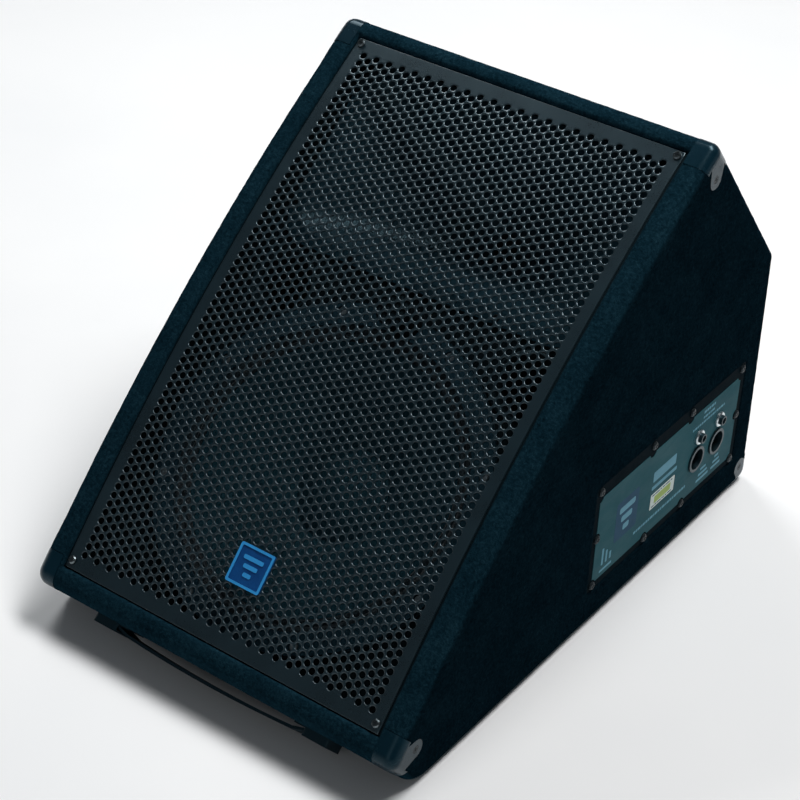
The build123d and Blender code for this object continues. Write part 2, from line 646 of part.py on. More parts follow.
with BuildPart() as hf_phase_plug:
    add(turned(HORNP, [(0, -119.5), (3.0, -121.5), (12.6, -134.0), (12.6, -138.1), (20.0, -138.1), (20.6, -139.2), (0, -144.6)]))
    # sound slots from the diaphragm to the throat
    for k in range(3):
        with Locations(on_plane(HORNP, 0, 0, -130) * Location((0, 0, 0), (0, 0, 60 * k))):
            Box(17, 1.4, 34, mode=Mode.SUBTRACT)
save(hf_phase_plug, "hf_phase_plug")

with BuildPart() as hf_diaphragm:
    add(turned(HORNP, [(0, -146.6), (11, -144.9), (22.0, -140.0), (22.0, -132.5), (22.6, -132.5), (22.6, -139.6), (25.8, -139.6),
                       (25.8, -140.3), (22.3, -140.4), (11.2, -145.5), (0, -147.2)]))
save(hf_diaphragm, "hf_diaphragm")

with BuildPart() as hf_rear_cover:
    add(turned(HORNP, [(0, -168), (40, -168), (44, -164), (44, -150), (41, -150), (41, -163.2), (39, -165.2), (0, -165.2)]))
save(hf_rear_cover, "hf_rear_cover")

bolt = screw(4.6, 3.2, 2.9, 20.0)
with BuildPart() as hf_driver_bolts:
    for y in (-36, 36):
        add(bolt.moved(on_plane(HORNP, 0, y, -112)))
save(hf_driver_bolts, "hf_driver_bolts")

# ------------------------------------------------------------------ input panel and crossover
PX = IN_X + SIDE_T                       # plate sits on the plywood
FACE = PX + PLATE_T
PYC, PZC = (PLATE_Y0 + PLATE_Y1) / 2, (PLATE_Z0 + PLATE_Z1) / 2


def side_plane(x, y=0.0, z=0.0):
    """Plane facing +X: local x = +Y, local y = +Z."""
    return Plane(origin=(x, y, z), x_dir=(0, 1, 0), z_dir=(1, 0, 0))


with BuildPart() as input_plate:
    with BuildSketch(side_plane(PX)):
        with Locations((PYC, PZC)):
            RectangleRounded(PLATE_Y1 - PLATE_Y0 - 0.6, PLATE_Z1 - PLATE_Z0 - 0.6, 4)
        with Locations(*PLATE_SCREWS):
            Circle(1.9, mode=Mode.SUBTRACT)
        with Locations(*[(y, JACK_Z) for y in JACK_Y]):
            Circle(4.85, mode=Mode.SUBTRACT)
        with Locations(*[(y, SOCKET_Z) for y in SOCKET_Y]):
            Circle(11.6, mode=Mode.SUBTRACT)
        with Locations(*[(y, z) for y in (22.0, 221.0) for z in (60.0, 128.0)]):
            Circle(1.6, mode=Mode.SUBTRACT)
    extrude(amount=PLATE_T)
save(input_plate, "input_plate")

ART_Y0, ART_Y1, ART_Z0, ART_Z1, ART_T = 1.0, 241.5, 46.0, 136.0, 0.4
with BuildPart() as artwork_plate:
    with BuildSketch(side_plane(FACE)):
        with Locations(((ART_Y0 + ART_Y1) / 2, (ART_Z0 + ART_Z1) / 2)):
            RectangleRounded(ART_Y1 - ART_Y0, ART_Z1 - ART_Z0, 2.5)
        with Locations(*PLATE_SCREWS):
            Circle(5.6, mode=Mode.SUBTRACT)
        with Locations(*[(y, ART_Z1 + 1.5) for y in (1.0, 87.0, 152.0, 242.0)]):
            Circle(5.6, mode=Mode.SUBTRACT)
        with Locations(*[(y, JACK_Z) for y in JACK_Y]):
            Circle(4.95, mode=Mode.SUBTRACT)
        with Locations(*[(y, SOCKET_Z) for y in SOCKET_Y]):
            Circle(11.7, mode=Mode.SUBTRACT)
    extrude(amount=ART_T)
save(artwork_plate, "artwork_plate")

p_screw = screw(3.9, 2.2, 1.65, 15.0)
with BuildPart() as input_plate_screws:
    for (y, z) in PLATE_SCREWS:
        add(p_screw.moved(Location(side_plane(FACE, y, z))))
save(input_plate_screws, "input_plate_screws")

with BuildPart() as rating_label:
    with BuildSketch(side_plane(FACE + ART_T)):
        with Locations((112.5, 79.0)):
            RectangleRounded(41, 16.5, 1)
    extrude(amount=0.2)
save(rating_label, "rating_label")

BOARD_X = 157.0
for i, jy in enumerate(JACK_Y):
    with BuildPart() as jack:
        with BuildSketch(side_plane(BOARD_X + 1.6)):
            with Locations((jy, JACK_Z)):
                RectangleRounded(15, 15, 1.5)
        extrude(amount=PX - 0.1 - BOARD_X - 1.6)
        with BuildSketch(side_plane(PX - 0.1)):
            with Locations((jy, JACK_Z)):
                Circle(4.7)
        extrude(amount=8.2)
        with Locations(Location(side_plane(PX - 0.1 + 8.2, jy, JACK_Z))):
            Cylinder(3.25, 2 * 33.0, mode=Mode.SUBTRACT)
    save(jack, "jack_%d" % (i + 1))

with BuildPart() as jack_nuts:
    for jy in JACK_Y:
        with BuildSketch(side_plane(FACE + ART_T)):
            with Locations((jy, JACK_Z)):
                Circle(7.2)
                Circle(4.78, mode=Mode.SUBTRACT)
        extrude(amount=2.6)
    chamfer(jack_nuts.edges().group_by(Axis.X)[-1].filter_by(GeomType.CIRCLE).sort_by(SortBy.RADIUS)[-2:], length=0.8)
save(jack_nuts, "jack_nuts")

for i, sy in enumerate(SOCKET_Y):
    sp = side_plane(0, sy, SOCKET_Z)
    with BuildPart() as socket:
        with BuildSketch(side_plane(FACE + ART_T)):
            with Locations((sy, SOCKET_Z)):
                Circle(12.9)
        extrude(amount=1.9)
        with BuildSketch(side_plane(FACE + ART_T)):
            with Locations((sy, SOCKET_Z)):
                Circle(11.4)
        extrude(amount=-26.0)
        # round well with a centre post, and two keyways
        with BuildSketch(side_plane(FACE + ART_T + 1.9)):
            with Locations((sy, SOCKET_Z)):
                Circle(10.2)
                Circle(5.7, mode=Mode.SUBTRACT)
        extrude(amount=-18.0, mode=Mode.SUBTRACT)
        with BuildSketch(side_plane(FACE + ART_T + 1.9)):
            with Locations((sy, SOCKET_Z)):
                Circle(6.2)
        extrude(amount=-5.2, mode=Mode.SUBTRACT)
        with BuildSketch(side_plane(FACE + ART_T + 1.9)):
            for k in (35, 215):
                with Locations((sy + 5.0 * cos(radians(k)), SOCKET_Z + 5.0 * sin(radians(k)))):
                    Rectangle(2.6, 2.6)
        extrude(amount=-12.0, mode=Mode.SUBTRACT)
    save(socket, "speaker_socket_%d" % (i + 1))

with BuildPart() as crossover_board:
    with BuildSketch(side_plane(BOARD_X)):
        with Locations(((CUT_Y0 + CUT_Y1) / 2, (CUT_Z0 + CUT_Z1) / 2)):
            RectangleRounded(216, 78, 2)
        with Locations(*[(y, z) for y in (22.0, 221.0) for z in (60.0, 128.0)]):
            Circle(1.6, mode=Mode.SUBTRACT)
    extrude(amount=1.6)
save(crossover_board, "crossover_board")

with BuildPart() as crossover_standoffs:
    for y in (22.0, 221.0):
        for z in (60.0, 128.0):
            with BuildSketch(side_plane(BOARD_X + 1.6)):
                with Locations((y, z)):
                    RegularPolygon(4.0, 6)
                    Circle(1.5, mode=Mode.SUBTRACT)
            extrude(amount=PX - BOARD_X - 1.6)
save(crossover_standoffs, "crossover_standoffs")

with BuildPart() as crossover_inductors:
    for y in (62.0, 118.0):
        for r, x0, h in ((24.0, BOARD_X - 1.6, 1.6), (9.6, BOARD_X - 20.4, 18.8), (24.0, BOARD_X - 22.0, 1.6), (21.5, BOARD_X - 20.4, 18.8)):
            with BuildSketch(side_plane(x0)):
                with Locations((y, 94)):
                    Circle(r)
            extrude(amount=h)
        with Locations(Location(side_plane(BOARD_X - 11, y, 94))):
            Cylinder(8.0, 40, mode=Mode.SUBTRACT)
save(crossover_inductors, "crossover_inductors")

with BuildPart() as crossover_capacitors:
    for y in (162.0, 186.0, 208.0):
        with Locations(Location((BOARD_X - 9.2, y, 94))):
            Cylinder(9.0, 42)
save(crossover_capacitors, "crossover_capacitors")


def lead(points, r, radii):
    with BuildPart() as w:
        with BuildLine() as path:
            FilletPolyline(*points, radius=radii)
        run = path.wires()[0]
        with BuildSketch(Plane(origin=run @ 0, z_dir=run % 0)):
            Circle(r)
        sweep()
    print("lead", round(w.part.volume / (3.14159265 * r * r * run.length), 4), round(run.length), w.part.is_valid)
    return w


wt = WOOF.origin + WOOF.x_dir * 72.9 + WOOF.z_dir * (-97.4)
woofer_lead = lead([(BOARD_X - 0.5, 28, 100), (BOARD_X - 36, 26, 104), (BOARD_X - 58, -22, 110), (wt.X + 14, wt.Y + 18, wt.Z + 6), (wt.X + 0.1, wt.Y, wt.Z)], 2.4, 14)
save(woofer_lead, "woofer_lead")
ht = HORNP.origin + HORNP.x_dir * 44.7 + HORNP.z_dir * (-158.0)
hf_lead = lead([(BOARD_X - 0.5, 140, 124), (BOARD_X - 34, 141, 130), (BOARD_X - 52, 146, 176), (ht.X + 26, ht.Y, ht.Z - 4), (ht.X, ht.Y, ht.Z)], 2.0, 14)
save(hf_lead, "hf_lead")


def cd_line(t, z):
    """Point at height z on the rear panel's face, moved inward by t."""
    c, d = shrunk(t)[2], shrunk(t)[3]
    k = (z - d[1]) / (c[1] - d[1])
    return (d[0] + k * (c[0] - d[0]), z)


with BuildPart() as damping_pads:
    with BuildSketch(Plane.YZ.offset(-150)):
        with BuildLine():
            Polyline(cd_line(15.3, 30), cd_line(15.3, 215), cd_line(33, 205), cd_line(33, 30), close=True)
        make_face()
    extrude(amount=300)
    with BuildSketch(Plane.YZ.offset(-150)):
        with BuildLine():
            Polyline(fq(543.4, -62), fq(541.4, -170), fq(524, -170), fq(526, -62), close=True)
        make_face()
    extrude(amount=300)
save(damping_pads, "damping_pads")

# ------------------------------------------------------------------ strap handle on the toe panel
CAP_X0, CAP_ROOF, CAP_X1 = 88.0, 99.0, STRAP_L / 2
CAP_H, CAP_W, CAP_LIP = 7.6, 30.0, 1.2
CAP_VOID = (97.0, 119.6, CAP_LIP, 6.1)    # the strap's ends lift in here: x from, x to, bottom, top
with BuildPart() as handle_caps:
    for sx in (-1, 1):
        with BuildSketch(TOE):
            with Locations((sx * (CAP_X0 + CAP_X1) / 2, STRAP_S)):
                RectangleRounded(CAP_X1 - CAP_X0, CAP_W, 3)
        extrude(amount=CAP_LIP)
        with BuildSketch(TOE):
            with Locations((sx * (CAP_ROOF + CAP_X1) / 2, STRAP_S)):
                RectangleRounded(CAP_X1 - CAP_ROOF, CAP_W, 3)
        extrude(amount=CAP_H)
        x0, x1, z0, z1 = CAP_VOID
        with Locations(on_plane(TOE, sx * (x0 + x1) / 2, STRAP_S, (z0 + z1) / 2)):
            Box(x1 - x0, STRAP_W + 1.4, z1 - z0, mode=Mode.SUBTRACT)
        with Locations(on_plane(TOE, sx * CAP_SCREW_X, STRAP_S, 6)):
            Cylinder(2.4, 20, mode=Mode.SUBTRACT)
        with BuildSketch(TOE.offset(CAP_H + 0.05)):
            with Locations((sx * CAP_SCREW_X, STRAP_S)):
                Circle(4.35)
        extrude(amount=-1.95, taper=44, mode=Mode.SUBTRACT)
print("caps", len(handle_caps.part.solids()), handle_caps.part.is_valid)
save(handle_caps, "handle_caps")

hs = screw(4.2, 1.85, 2.2, 20.0, sunk=True)
with BuildPart() as handle_screws:
    for sx in (-1, 1):
        add(hs.moved(on_plane(TOE, sx * CAP_SCREW_X, STRAP_S, CAP_H)))
save(handle_screws, "handle_screws")

SH = FINGER_GAP
strap_plane = Plane(origin=TOE.origin + TOE.y_dir * (STRAP_S + STRAP_W / 2), x_dir=(-1, 0, 0), z_dir=-TOE.y_dir)
with BuildPart() as handle_strap:
    with BuildSketch(strap_plane):
        with BuildLine():
            Polyline((-88, SH - 2.9), (-98.6, 1.5), (-117, 1.5), (-117, 3.9), (-98.0, 3.9), (-88, SH - 2.9 + STRAP_T))
            ThreePointArc((-88, SH - 2.9 + STRAP_T), (0, SH + STRAP_T), (88, SH - 2.9 + STRAP_T))
            Polyline((88, SH - 2.9 + STRAP_T), (98.0, 3.9), (117, 3.9), (117, 1.5), (98.6, 1.5), (88, SH - 2.9))
            ThreePointArc((88, SH - 2.9), (0, SH), (-88, SH - 2.9))
        make_face()
    extrude(amount=STRAP_W)
    for sx in (-1, 1):
        with BuildSketch(TOE):
            with Locations((sx * CAP_SCREW_X, STRAP_S)):
                SlotOverall(10.0, 6.4)
        extrude(amount=12, mode=Mode.SUBTRACT)
print("strap", len(handle_strap.part.solids()), handle_strap.part.is_valid, round(handle_strap.part.volume))
save(handle_strap, "handle_strap")
print("all done")
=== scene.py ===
import bpy, bmesh, math, json
import numpy as np
from mathutils import Vector, Matrix, noise, geometry


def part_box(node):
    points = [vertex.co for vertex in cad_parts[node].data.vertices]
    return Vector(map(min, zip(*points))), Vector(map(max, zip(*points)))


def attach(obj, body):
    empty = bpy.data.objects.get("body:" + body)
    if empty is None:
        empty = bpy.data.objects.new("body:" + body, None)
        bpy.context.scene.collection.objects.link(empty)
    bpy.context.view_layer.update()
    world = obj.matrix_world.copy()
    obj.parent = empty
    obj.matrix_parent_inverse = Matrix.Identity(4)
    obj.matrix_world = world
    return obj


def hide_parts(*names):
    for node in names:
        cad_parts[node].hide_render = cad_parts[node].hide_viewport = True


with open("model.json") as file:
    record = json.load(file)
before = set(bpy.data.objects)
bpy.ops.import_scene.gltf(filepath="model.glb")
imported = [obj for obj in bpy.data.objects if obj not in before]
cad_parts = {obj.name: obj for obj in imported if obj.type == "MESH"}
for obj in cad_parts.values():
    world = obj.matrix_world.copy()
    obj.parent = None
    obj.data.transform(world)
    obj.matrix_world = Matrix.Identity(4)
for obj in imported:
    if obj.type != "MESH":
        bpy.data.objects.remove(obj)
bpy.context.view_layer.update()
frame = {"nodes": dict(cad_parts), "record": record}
NODES = frame["nodes"]

# ---------------------------------------------------------------- driving dimensions, millimetres
HALF_W = 189.5
THETA = math.radians(41.16)
FRONT_L, BOW, DB = 560.0, 19.6, 22.0
YO, ZO = -285.0, 46.85
QA = -5.0
CORNERS = [(-288.3, 43.02), (136.6, 415.4), (275.4, 250.7), (285.3, 0.0), (-250.65, 0.0)]
RADII = [12.0, 10.0, 10.0, 13.0, 30.0]
WELL_X, WELL_LO, WELL_HI = 167.0, 14.5, 543.6
GR_T0, GR_T1 = 2.5, 4.0
U = (math.cos(THETA), math.sin(THETA))
NO = (-math.sin(THETA), math.cos(THETA))
BOW_R = FRONT_L ** 2 / (8 * BOW) + BOW / 2


def bow_d(q, t=0.0):
    return math.sqrt((BOW_R - t) ** 2 - (q - FRONT_L / 2) ** 2) - (BOW_R - BOW)


def fq(q, d):
    return (YO + U[0] * q + NO[0] * d, ZO + U[1] * q + NO[1] * d)


def on_front(x, q, d):
    y, z = fq(q, d)
    return (x, y, z)


# ---------------------------------------------------------------- material helpers
def lin(*c):
    return tuple((v / 255 / 12.92) if v / 255 <= 0.04045 else ((v / 255 + 0.055) / 1.055) ** 2.4 for v in c)


class Mat:
    """A small way of writing node materials. Texture coordinates are the object's own, in metres."""

    def __init__(self, name, **values):
        self.mat = bpy.data.materials.new(name)
        self.mat.use_nodes = True
        self.t = self.mat.node_tree
        self.t.nodes.clear()
        out = self.t.nodes.new("ShaderNodeOutputMaterial")
        self.b = self.t.nodes.new("ShaderNodeBsdfPrincipled")
        self.t.links.new(self.b.outputs[0], out.inputs[0])
        self.co = self.t.nodes.new("ShaderNodeTexCoord").outputs["Object"]
        for k, v in values.items():
            self.b.inputs[k.replace("_", " ")].default_value = v

    def node(self, kind, out, ins, **props):
        n = self.t.nodes.new(kind)
        for k, v in props.items():
            setattr(n, k, v)
        for k, v in ins.items():
            if v is None:
                continue
            if isinstance(v, bpy.types.NodeSocket):
                self.t.links.new(v, n.inputs[k])
            else:
                n.inputs[k].default_value = v
        return n.outputs[out]

    def noise(self, scale, detail=3.0, rough=0.55, dist=0.0, vec=None, out="Fac"):
        return self.node("ShaderNodeTexNoise", out, {"Vector": vec or self.co, "Scale": scale, "Detail": detail, "Roughness": rough, "Distortion": dist})

    def voro(self, scale, vec=None, feature="F1", rand=1.0, out="Distance"):
        return self.node("ShaderNodeTexVoronoi", out, {"Vector": vec or self.co, "Scale": scale, "Randomness": rand}, feature=feature)

    def wave(self, scale, dist=2.0, detail=3.0, dscale=1.0, vec=None, wave_type="BANDS", direction="X"):
        props = {"wave_type": wave_type}
        props["rings_direction" if wave_type == "RINGS" else "bands_direction"] = direction
        return self.node("ShaderNodeTexWave", "Fac", {"Vector": vec or self.co, "Scale": scale, "Distortion": dist, "Detail": detail, "Detail Scale": dscale}, **props)

    def map(self, scale=(1, 1, 1), rot=(0, 0, 0), loc=(0, 0, 0), vec=None):
        return self.node("ShaderNodeMapping", "Vector", {"Vector": vec or self.co, "Scale": scale, "Rotation": rot, "Location": loc})

    def math(self, op, a, b=None, c=None, clamp=False):
        n = self.t.nodes.new("ShaderNodeMath")
        n.operation, n.use_clamp = op, clamp
        for i, v in enumerate((a, b, c)):
            if v is None:
                continue
            if isinstance(v, bpy.types.NodeSocket):
                self.t.links.new(v, n.inputs[i])
            else:
                n.inputs[i].default_value = v
        return n.outputs[0]

    def fit(self, v, a, b, lo=0.0, hi=1.0, smooth=True):
        return self.node("ShaderNodeMapRange", "Result", {"Value": v, "From Min": a, "From Max": b, "To Min": lo, "To Max": hi},
                         interpolation_type="SMOOTHSTEP" if smooth else "LINEAR")

    def ramp(self, fac, stops):
        n = self.t.nodes.new("ShaderNodeValToRGB")
        e = n.color_ramp.elements
        while len(e) < len(stops):
            e.new(0.5)
        for el, (p, c) in zip(e, stops):
            el.position, el.color = p, (*c, 1)
        self.t.links.new(fac, n.inputs[0])
        return n.outputs[0]

    def mix(self, fac, a, b, blend="MIX"):
        n = self.t.nodes.new("ShaderNodeMix")
        n.data_type, n.blend_type = "RGBA", blend
        for i, v in ((0, fac), (6, a), (7, b)):
            if isinstance(v, bpy.types.NodeSocket):
                self.t.links.new(v, n.inputs[i])
            elif i:
                n.inputs[i].default_value = (*v, 1)
            else:
                n.inputs[i].default_value = v
        return n.outputs[2]

    def dot(self, axis, vec=None):
        return self.node("ShaderNodeVectorMath", "Value", {0: vec or self.co, 1: axis}, operation="DOT_PRODUCT")

    def length(self, vec):
        return self.node("ShaderNodeVectorMath", "Value", {0: vec}, operation="LENGTH")

    def bump(self, h, strength, dist, prev=None):
        n = self.t.nodes.new("ShaderNodeBump")
        n.inputs["Strength"].default_value = strength
        n.inputs["Distance"].default_value = dist
        self.t.links.new(h, n.inputs["Height"])
        if prev is not None:
            self.t.links.new(prev, n.inputs["Normal"])
        return n.outputs[0]

    def set(self, **links):
        for k, v in links.items():
            s = self.b.inputs[k.replace("_", " ")]
            if isinstance(v, bpy.types.NodeSocket):
                self.t.links.new(v, s)
            else:
                s.default_value = v
        return self


def moulded(name, colour, rough=0.4, grain=900.0, grain_h=0.00004, grain_s=0.25, spec=0.5, coat=0.0, wear=0.15, metallic=0.0):
    """Moulded plastic or paint: a grained surface, slight cloudiness in colour and gloss."""
    m = Mat(name, Metallic=metallic, Specular_IOR_Level=spec, Specular_Tint=(0.5, 0.85, 1.0, 1), Coat_Weight=coat, Coat_Roughness=0.08)
    cloud = m.noise(28.0, 4, 0.6)
    fine = m.noise(grain, 2, 0.6)
    lo = tuple(c * 0.78 for c in colour)
    hi = tuple(min(1.0, c * 1.25 + 0.0008) for c in colour)
    col = m.ramp(m.math("ADD", m.math("MULTIPLY", cloud, 0.7), m.math("MULTIPLY", fine, 0.3)), [(0.3, lo), (0.5, colour), (0.72, hi)])
    rub = m.fit(m.noise(60.0, 5, 0.7, 0.4), 0.52, 0.75)
    m.set(Base_Color=col, Roughness=m.math("ADD", m.math("MULTIPLY", rub, wear), m.math("MULTIPLY_ADD", fine, 0.08, rough - 0.04)))
    m.set(Normal=m.bump(m.noise(grain, 3, 0.65), grain_s, grain_h))
    return m.mat


def metal(name, colour, rough=0.3, scratch=(900.0, 900.0, 60.0), tarnish=None, spec=0.5, bump_s=0.15):
    """Metal: fine tool marks in one direction, patches of duller tone."""
    m = Mat(name, Metallic=1.0, Specular_IOR_Level=spec)
    marks = m.noise(1.0, 3, 0.6, 0.0, m.map(scale=scratch))
    patch = m.noise(45.0, 4, 0.6)
    dull = tarnish or tuple(c * 0.62 for c in colour)
    m.set(Base_Color=m.mix(m.fit(patch, 0.35, 0.72), colour, dull),
          Roughness=m.math("MULTIPLY_ADD", marks, 0.25, m.math("MULTIPLY_ADD", patch, 0.14, rough - 0.18)))
    m.set(Normal=m.bump(marks, bump_s, 0.00003))
    return m.mat


# ---------------------------------------------------------------- materials
def carpet_material():
    m = Mat("carpet_felt", Roughness=1.0, Specular_IOR_Level=0.0)
    a = m.noise(1.0, 3, 0.65, 0.6, m.map(scale=(900, 350, 900), rot=(0.3, 0.1, 0.5)))
    b = m.noise(1.0, 3, 0.65, 0.6, m.map(scale=(350, 900, 500), rot=(0.7, 0.4, 1.1)))
    fibre = m.math("MAXIMUM", a, b)
    tuft = m.noise(310.0, 3, 0.6, 0.3)
    cloud = m.noise(34.0, 3, 0.55)
    v = m.math("ADD", m.math("MULTIPLY", fibre, 0.55), m.math("ADD", m.math("MULTIPLY", tuft, 0.35), m.math("MULTIPLY", cloud, 0.20)))
    # the pile colour, then a darker copy of it that paints shade on the side panels
    top = m.ramp(v, [(0.42, (0.0012, 0.0060, 0.0095)), (0.56, (0.0036, 0.0150, 0.0235)), (0.66, (0.0070, 0.0250, 0.0370)), (0.80, (0.015, 0.045, 0.062))])
    shaded_side_pile = m.ramp(v, [(0.42, (0.0007, 0.0026, 0.0042)), (0.56, (0.0018, 0.0070, 0.0110)), (0.66, (0.0036, 0.0120, 0.0180)), (0.80, (0.008, 0.023, 0.032))])
    # painted shade: both side panels take the darker copy of the pile colour, standing in for the shade they fall in
    side_shade_mask = m.fit(m.math("ABSOLUTE", m.dot((1.0, 0.0, 0.0))), 0.1868, 0.1892)
    m.set(Base_Color=m.mix(side_shade_mask, top, shaded_side_pile))
    n = m.bump(fibre, 0.55, 0.0006)
    n = m.bump(tuft, 0.5, 0.0012, n)
    m.set(Normal=n)
    return m.mat


def plywood_material():
    m = Mat("birch_plywood", Roughness=0.62, Specular_IOR_Level=0.35)
    grain = m.noise(1.0, 5, 0.65, 1.2, m.map(scale=(14, 260, 260)))
    ring = m.wave(26.0, 9.0, 3.0, 1.2, m.map(scale=(0.25, 1.0, 1.0)), direction="Z")
    v = m.math("ADD", m.math("MULTIPLY", grain, 0.6), m.math("MULTIPLY", ring, 0.4))
    m.set(Base_Color=m.ramp(v, [(0.2, (0.30, 0.18, 0.085)), (0.5, (0.46, 0.31, 0.16)), (0.8, (0.60, 0.44, 0.26))]))
    m.set(Normal=m.bump(grain, 0.3, 0.0003))
    return m.mat


def baffle_material():
    m = Mat("baffle_black_paint", Roughness=0.75, Specular_IOR_Level=0.12, Specular_Tint=(0.5, 0.85, 1.0, 1))
    grain = m.noise(1.0, 5, 0.6, 0.8, m.map(scale=(18, 300, 300)))
    fleck = m.noise(420.0, 3, 0.6)
    m.set(Base_Color=m.ramp(m.math("ADD", m.math("MULTIPLY", grain, 0.5), m.math("MULTIPLY", fleck, 0.5)),
                            [(0.3, (0.0010, 0.0032, 0.0046)), (0.6, (0.0022, 0.0066, 0.0092)), (0.8, (0.0045, 0.012, 0.016))]),
          Roughness=m.fit(fleck, 0.3, 0.7, 0.62, 0.85))
    m.set(Normal=m.bump(grain, 0.35, 0.0004))
    return m.mat


def grille_material():
    m = Mat("grille_powder_coat", Specular_IOR_Level=0.95, Specular_Tint=(0.62, 0.88, 1.0, 1), Coat_Weight=0.35, Coat_IOR=1.7, Coat_Roughness=0.16)
    peel = m.noise(1500.0, 2, 0.5)
    cloud = m.noise(22.0, 4, 0.6)
    m.set(Base_Color=m.ramp(cloud, [(0.3, (0.0022, 0.0075, 0.0110)), (0.6, (0.0034, 0.0110, 0.0160)), (0.8, (0.0058, 0.0165, 0.0225))]),
          Roughness=m.math("MULTIPLY_ADD", peel, 0.14, m.math("MULTIPLY_ADD", cloud, 0.10, 0.18)))
    m.set(Normal=m.bump(peel, 0.2, 0.00004))
    return m.mat


def paper_cone_material():
    m = Mat("pulp_cone", Roughness=0.7, Specular_IOR_Level=0.10, Specular_Tint=(0.4, 0.85, 1.0, 1))
    fibre = m.noise(1.0, 5, 0.7, 1.5, m.map(scale=(340, 120, 340), rot=(0.5, 0, 0.9)))
    fibre2 = m.noise(260.0, 5, 0.7, 2.0)
    cloud = m.noise(24.0, 4)
    v = m.math("ADD", m.math("MULTIPLY", fibre, 0.35), m.math("ADD", m.math("MULTIPLY", fibre2, 0.35), m.math("MULTIPLY", cloud, 0.3)))
    m.set(Base_Color=m.ramp(v, [(0.35, (0.006, 0.022, 0.032)), (0.5, (0.011, 0.040, 0.056)), (0.68, (0.020, 0.064, 0.085))]),
          Roughness=m.fit(cloud, 0.3, 0.7, 0.55, 0.78))
    m.set(Normal=m.bump(fibre2, 0.35, 0.0004))
    return m.mat


def cloth_material(name, dark, mid, light, thread=0.0009, rough=0.8):
    m = Mat(name, Roughness=rough, Specular_IOR_Level=0.25, Sheen_Weight=0.1, Sheen_Roughness=0.5)
    k = 1.0 / thread
    wx = m.node("ShaderNodeTexWave", "Fac", {"Vector": m.co, "Scale": k * 0.16, "Distortion": 0.6, "Detail": 1.0}, wave_type="BANDS", bands_direction="X")
    wy = m.node("ShaderNodeTexWave", "Fac", {"Vector": m.co, "Scale": k * 0.16, "Distortion": 0.6, "Detail": 1.0}, wave_type="BANDS", bands_direction="Y")
    weave = m.math("MULTIPLY", wx, wy)
    cloud = m.noise(60.0, 4, 0.6)
    m.set(Base_Color=m.ramp(m.math("ADD", m.math("MULTIPLY", weave, 0.6), m.math("MULTIPLY", cloud, 0.4)), [(0.15, dark), (0.45, mid), (0.8, light)]))
    m.set(Normal=m.bump(weave, 0.4, 0.0003))
    return m.mat


def wadding_material():
    m = Mat("polyester_wadding", Roughness=1.0, Specular_IOR_Level=0.1, Sheen_Weight=0.2)
    a = m.noise(180.0, 6, 0.75, 2.5)
    b = m.noise(30.0, 4)
    m.set(Base_Color=m.ramp(m.math("ADD", m.math("MULTIPLY", a, 0.6), m.math("MULTIPLY", b, 0.4)), [(0.3, (0.25, 0.26, 0.26)), (0.6, (0.5, 0.51, 0.5)), (0.8, (0.7, 0.7, 0.68))]))
    m.set(Normal=m.bump(a, 0.8, 0.002))
    return m.mat


def foam_material():
    m = Mat("open_cell_foam", Roughness=0.95, Specular_IOR_Level=0.1)
    v = m.voro(900.0)
    n = m.noise(400.0, 3)
    m.set(Base_Color=m.ramp(m.math("ADD", m.math("MULTIPLY", v, 0.6), m.math("MULTIPLY", n, 0.4)), [(0.15, (0.0012, 0.0035, 0.005)), (0.5, (0.0030, 0.0080, 0.0110)), (0.8, (0.007, 0.016, 0.021))]))
    m.set(Normal=m.bump(v, 0.6, 0.0006))
    return m.mat


def badge_material():
    """Blue enamel with a paler rim and bars: they stand above the field, so height along the badge's own normal tells them apart."""
    m = Mat("badge_enamel", Specular_IOR_Level=0.3, Coat_Weight=0.15, Coat_Roughness=0.2)
    q, t = 85.0, GR_T0
    tilt = math.atan2(FRONT_L / 2 - q, BOW_R - t)
    base = Vector(on_front(0, q, bow_d(q, t) + 0.12)) * 0.001
    nn = Vector((0.0, -math.sin(THETA + tilt), math.cos(THETA + tilt)))
    h = m.math("SUBTRACT", m.dot(tuple(nn)), nn.dot(base))
    raised = m.fit(h, 0.00172, 0.00200)
    fleck = m.noise(900.0, 3)
    cloud = m.noise(70.0, 4)
    blue = m.ramp(m.math("ADD", m.math("MULTIPLY", fleck, 0.4), m.math("MULTIPLY", cloud, 0.6)), [(0.3, (0.0020, 0.040, 0.155)), (0.55, (0.0030, 0.058, 0.205)), (0.8, (0.006, 0.080, 0.260))])
    m.set(Base_Color=m.mix(raised, blue, (0.030, 0.270, 0.620)), Roughness=m.math("MULTIPLY_ADD", fleck, 0.15, 0.25))
    m.set(Normal=m.bump(fleck, 0.15, 0.00004))
    return m.mat


def overlay_material():
    m = Mat("panel_overlay_film", Specular_IOR_Level=0.03, Specular_Tint=(0.4, 0.85, 1.0, 1))
    fleck = m.noise(1600.0, 2)
    cloud = m.noise(18.0, 4, 0.6)
    smear = m.noise(1.0, 4, 0.6, 0.6, m.map(scale=(60, 20, 60)))
    m.set(Base_Color=m.ramp(m.math("ADD", m.math("MULTIPLY", cloud, 0.6), m.math("MULTIPLY", fleck, 0.4)),
                            [(0.3, (0.016, 0.062, 0.078)), (0.5, (0.022, 0.080, 0.098)), (0.75, (0.036, 0.102, 0.118))]),
          Roughness=m.fit(smear, 0.35, 0.7, 0.50, 0.68))
    m.set(Normal=m.bump(fleck, 0.2, 0.00005))
    return m.mat


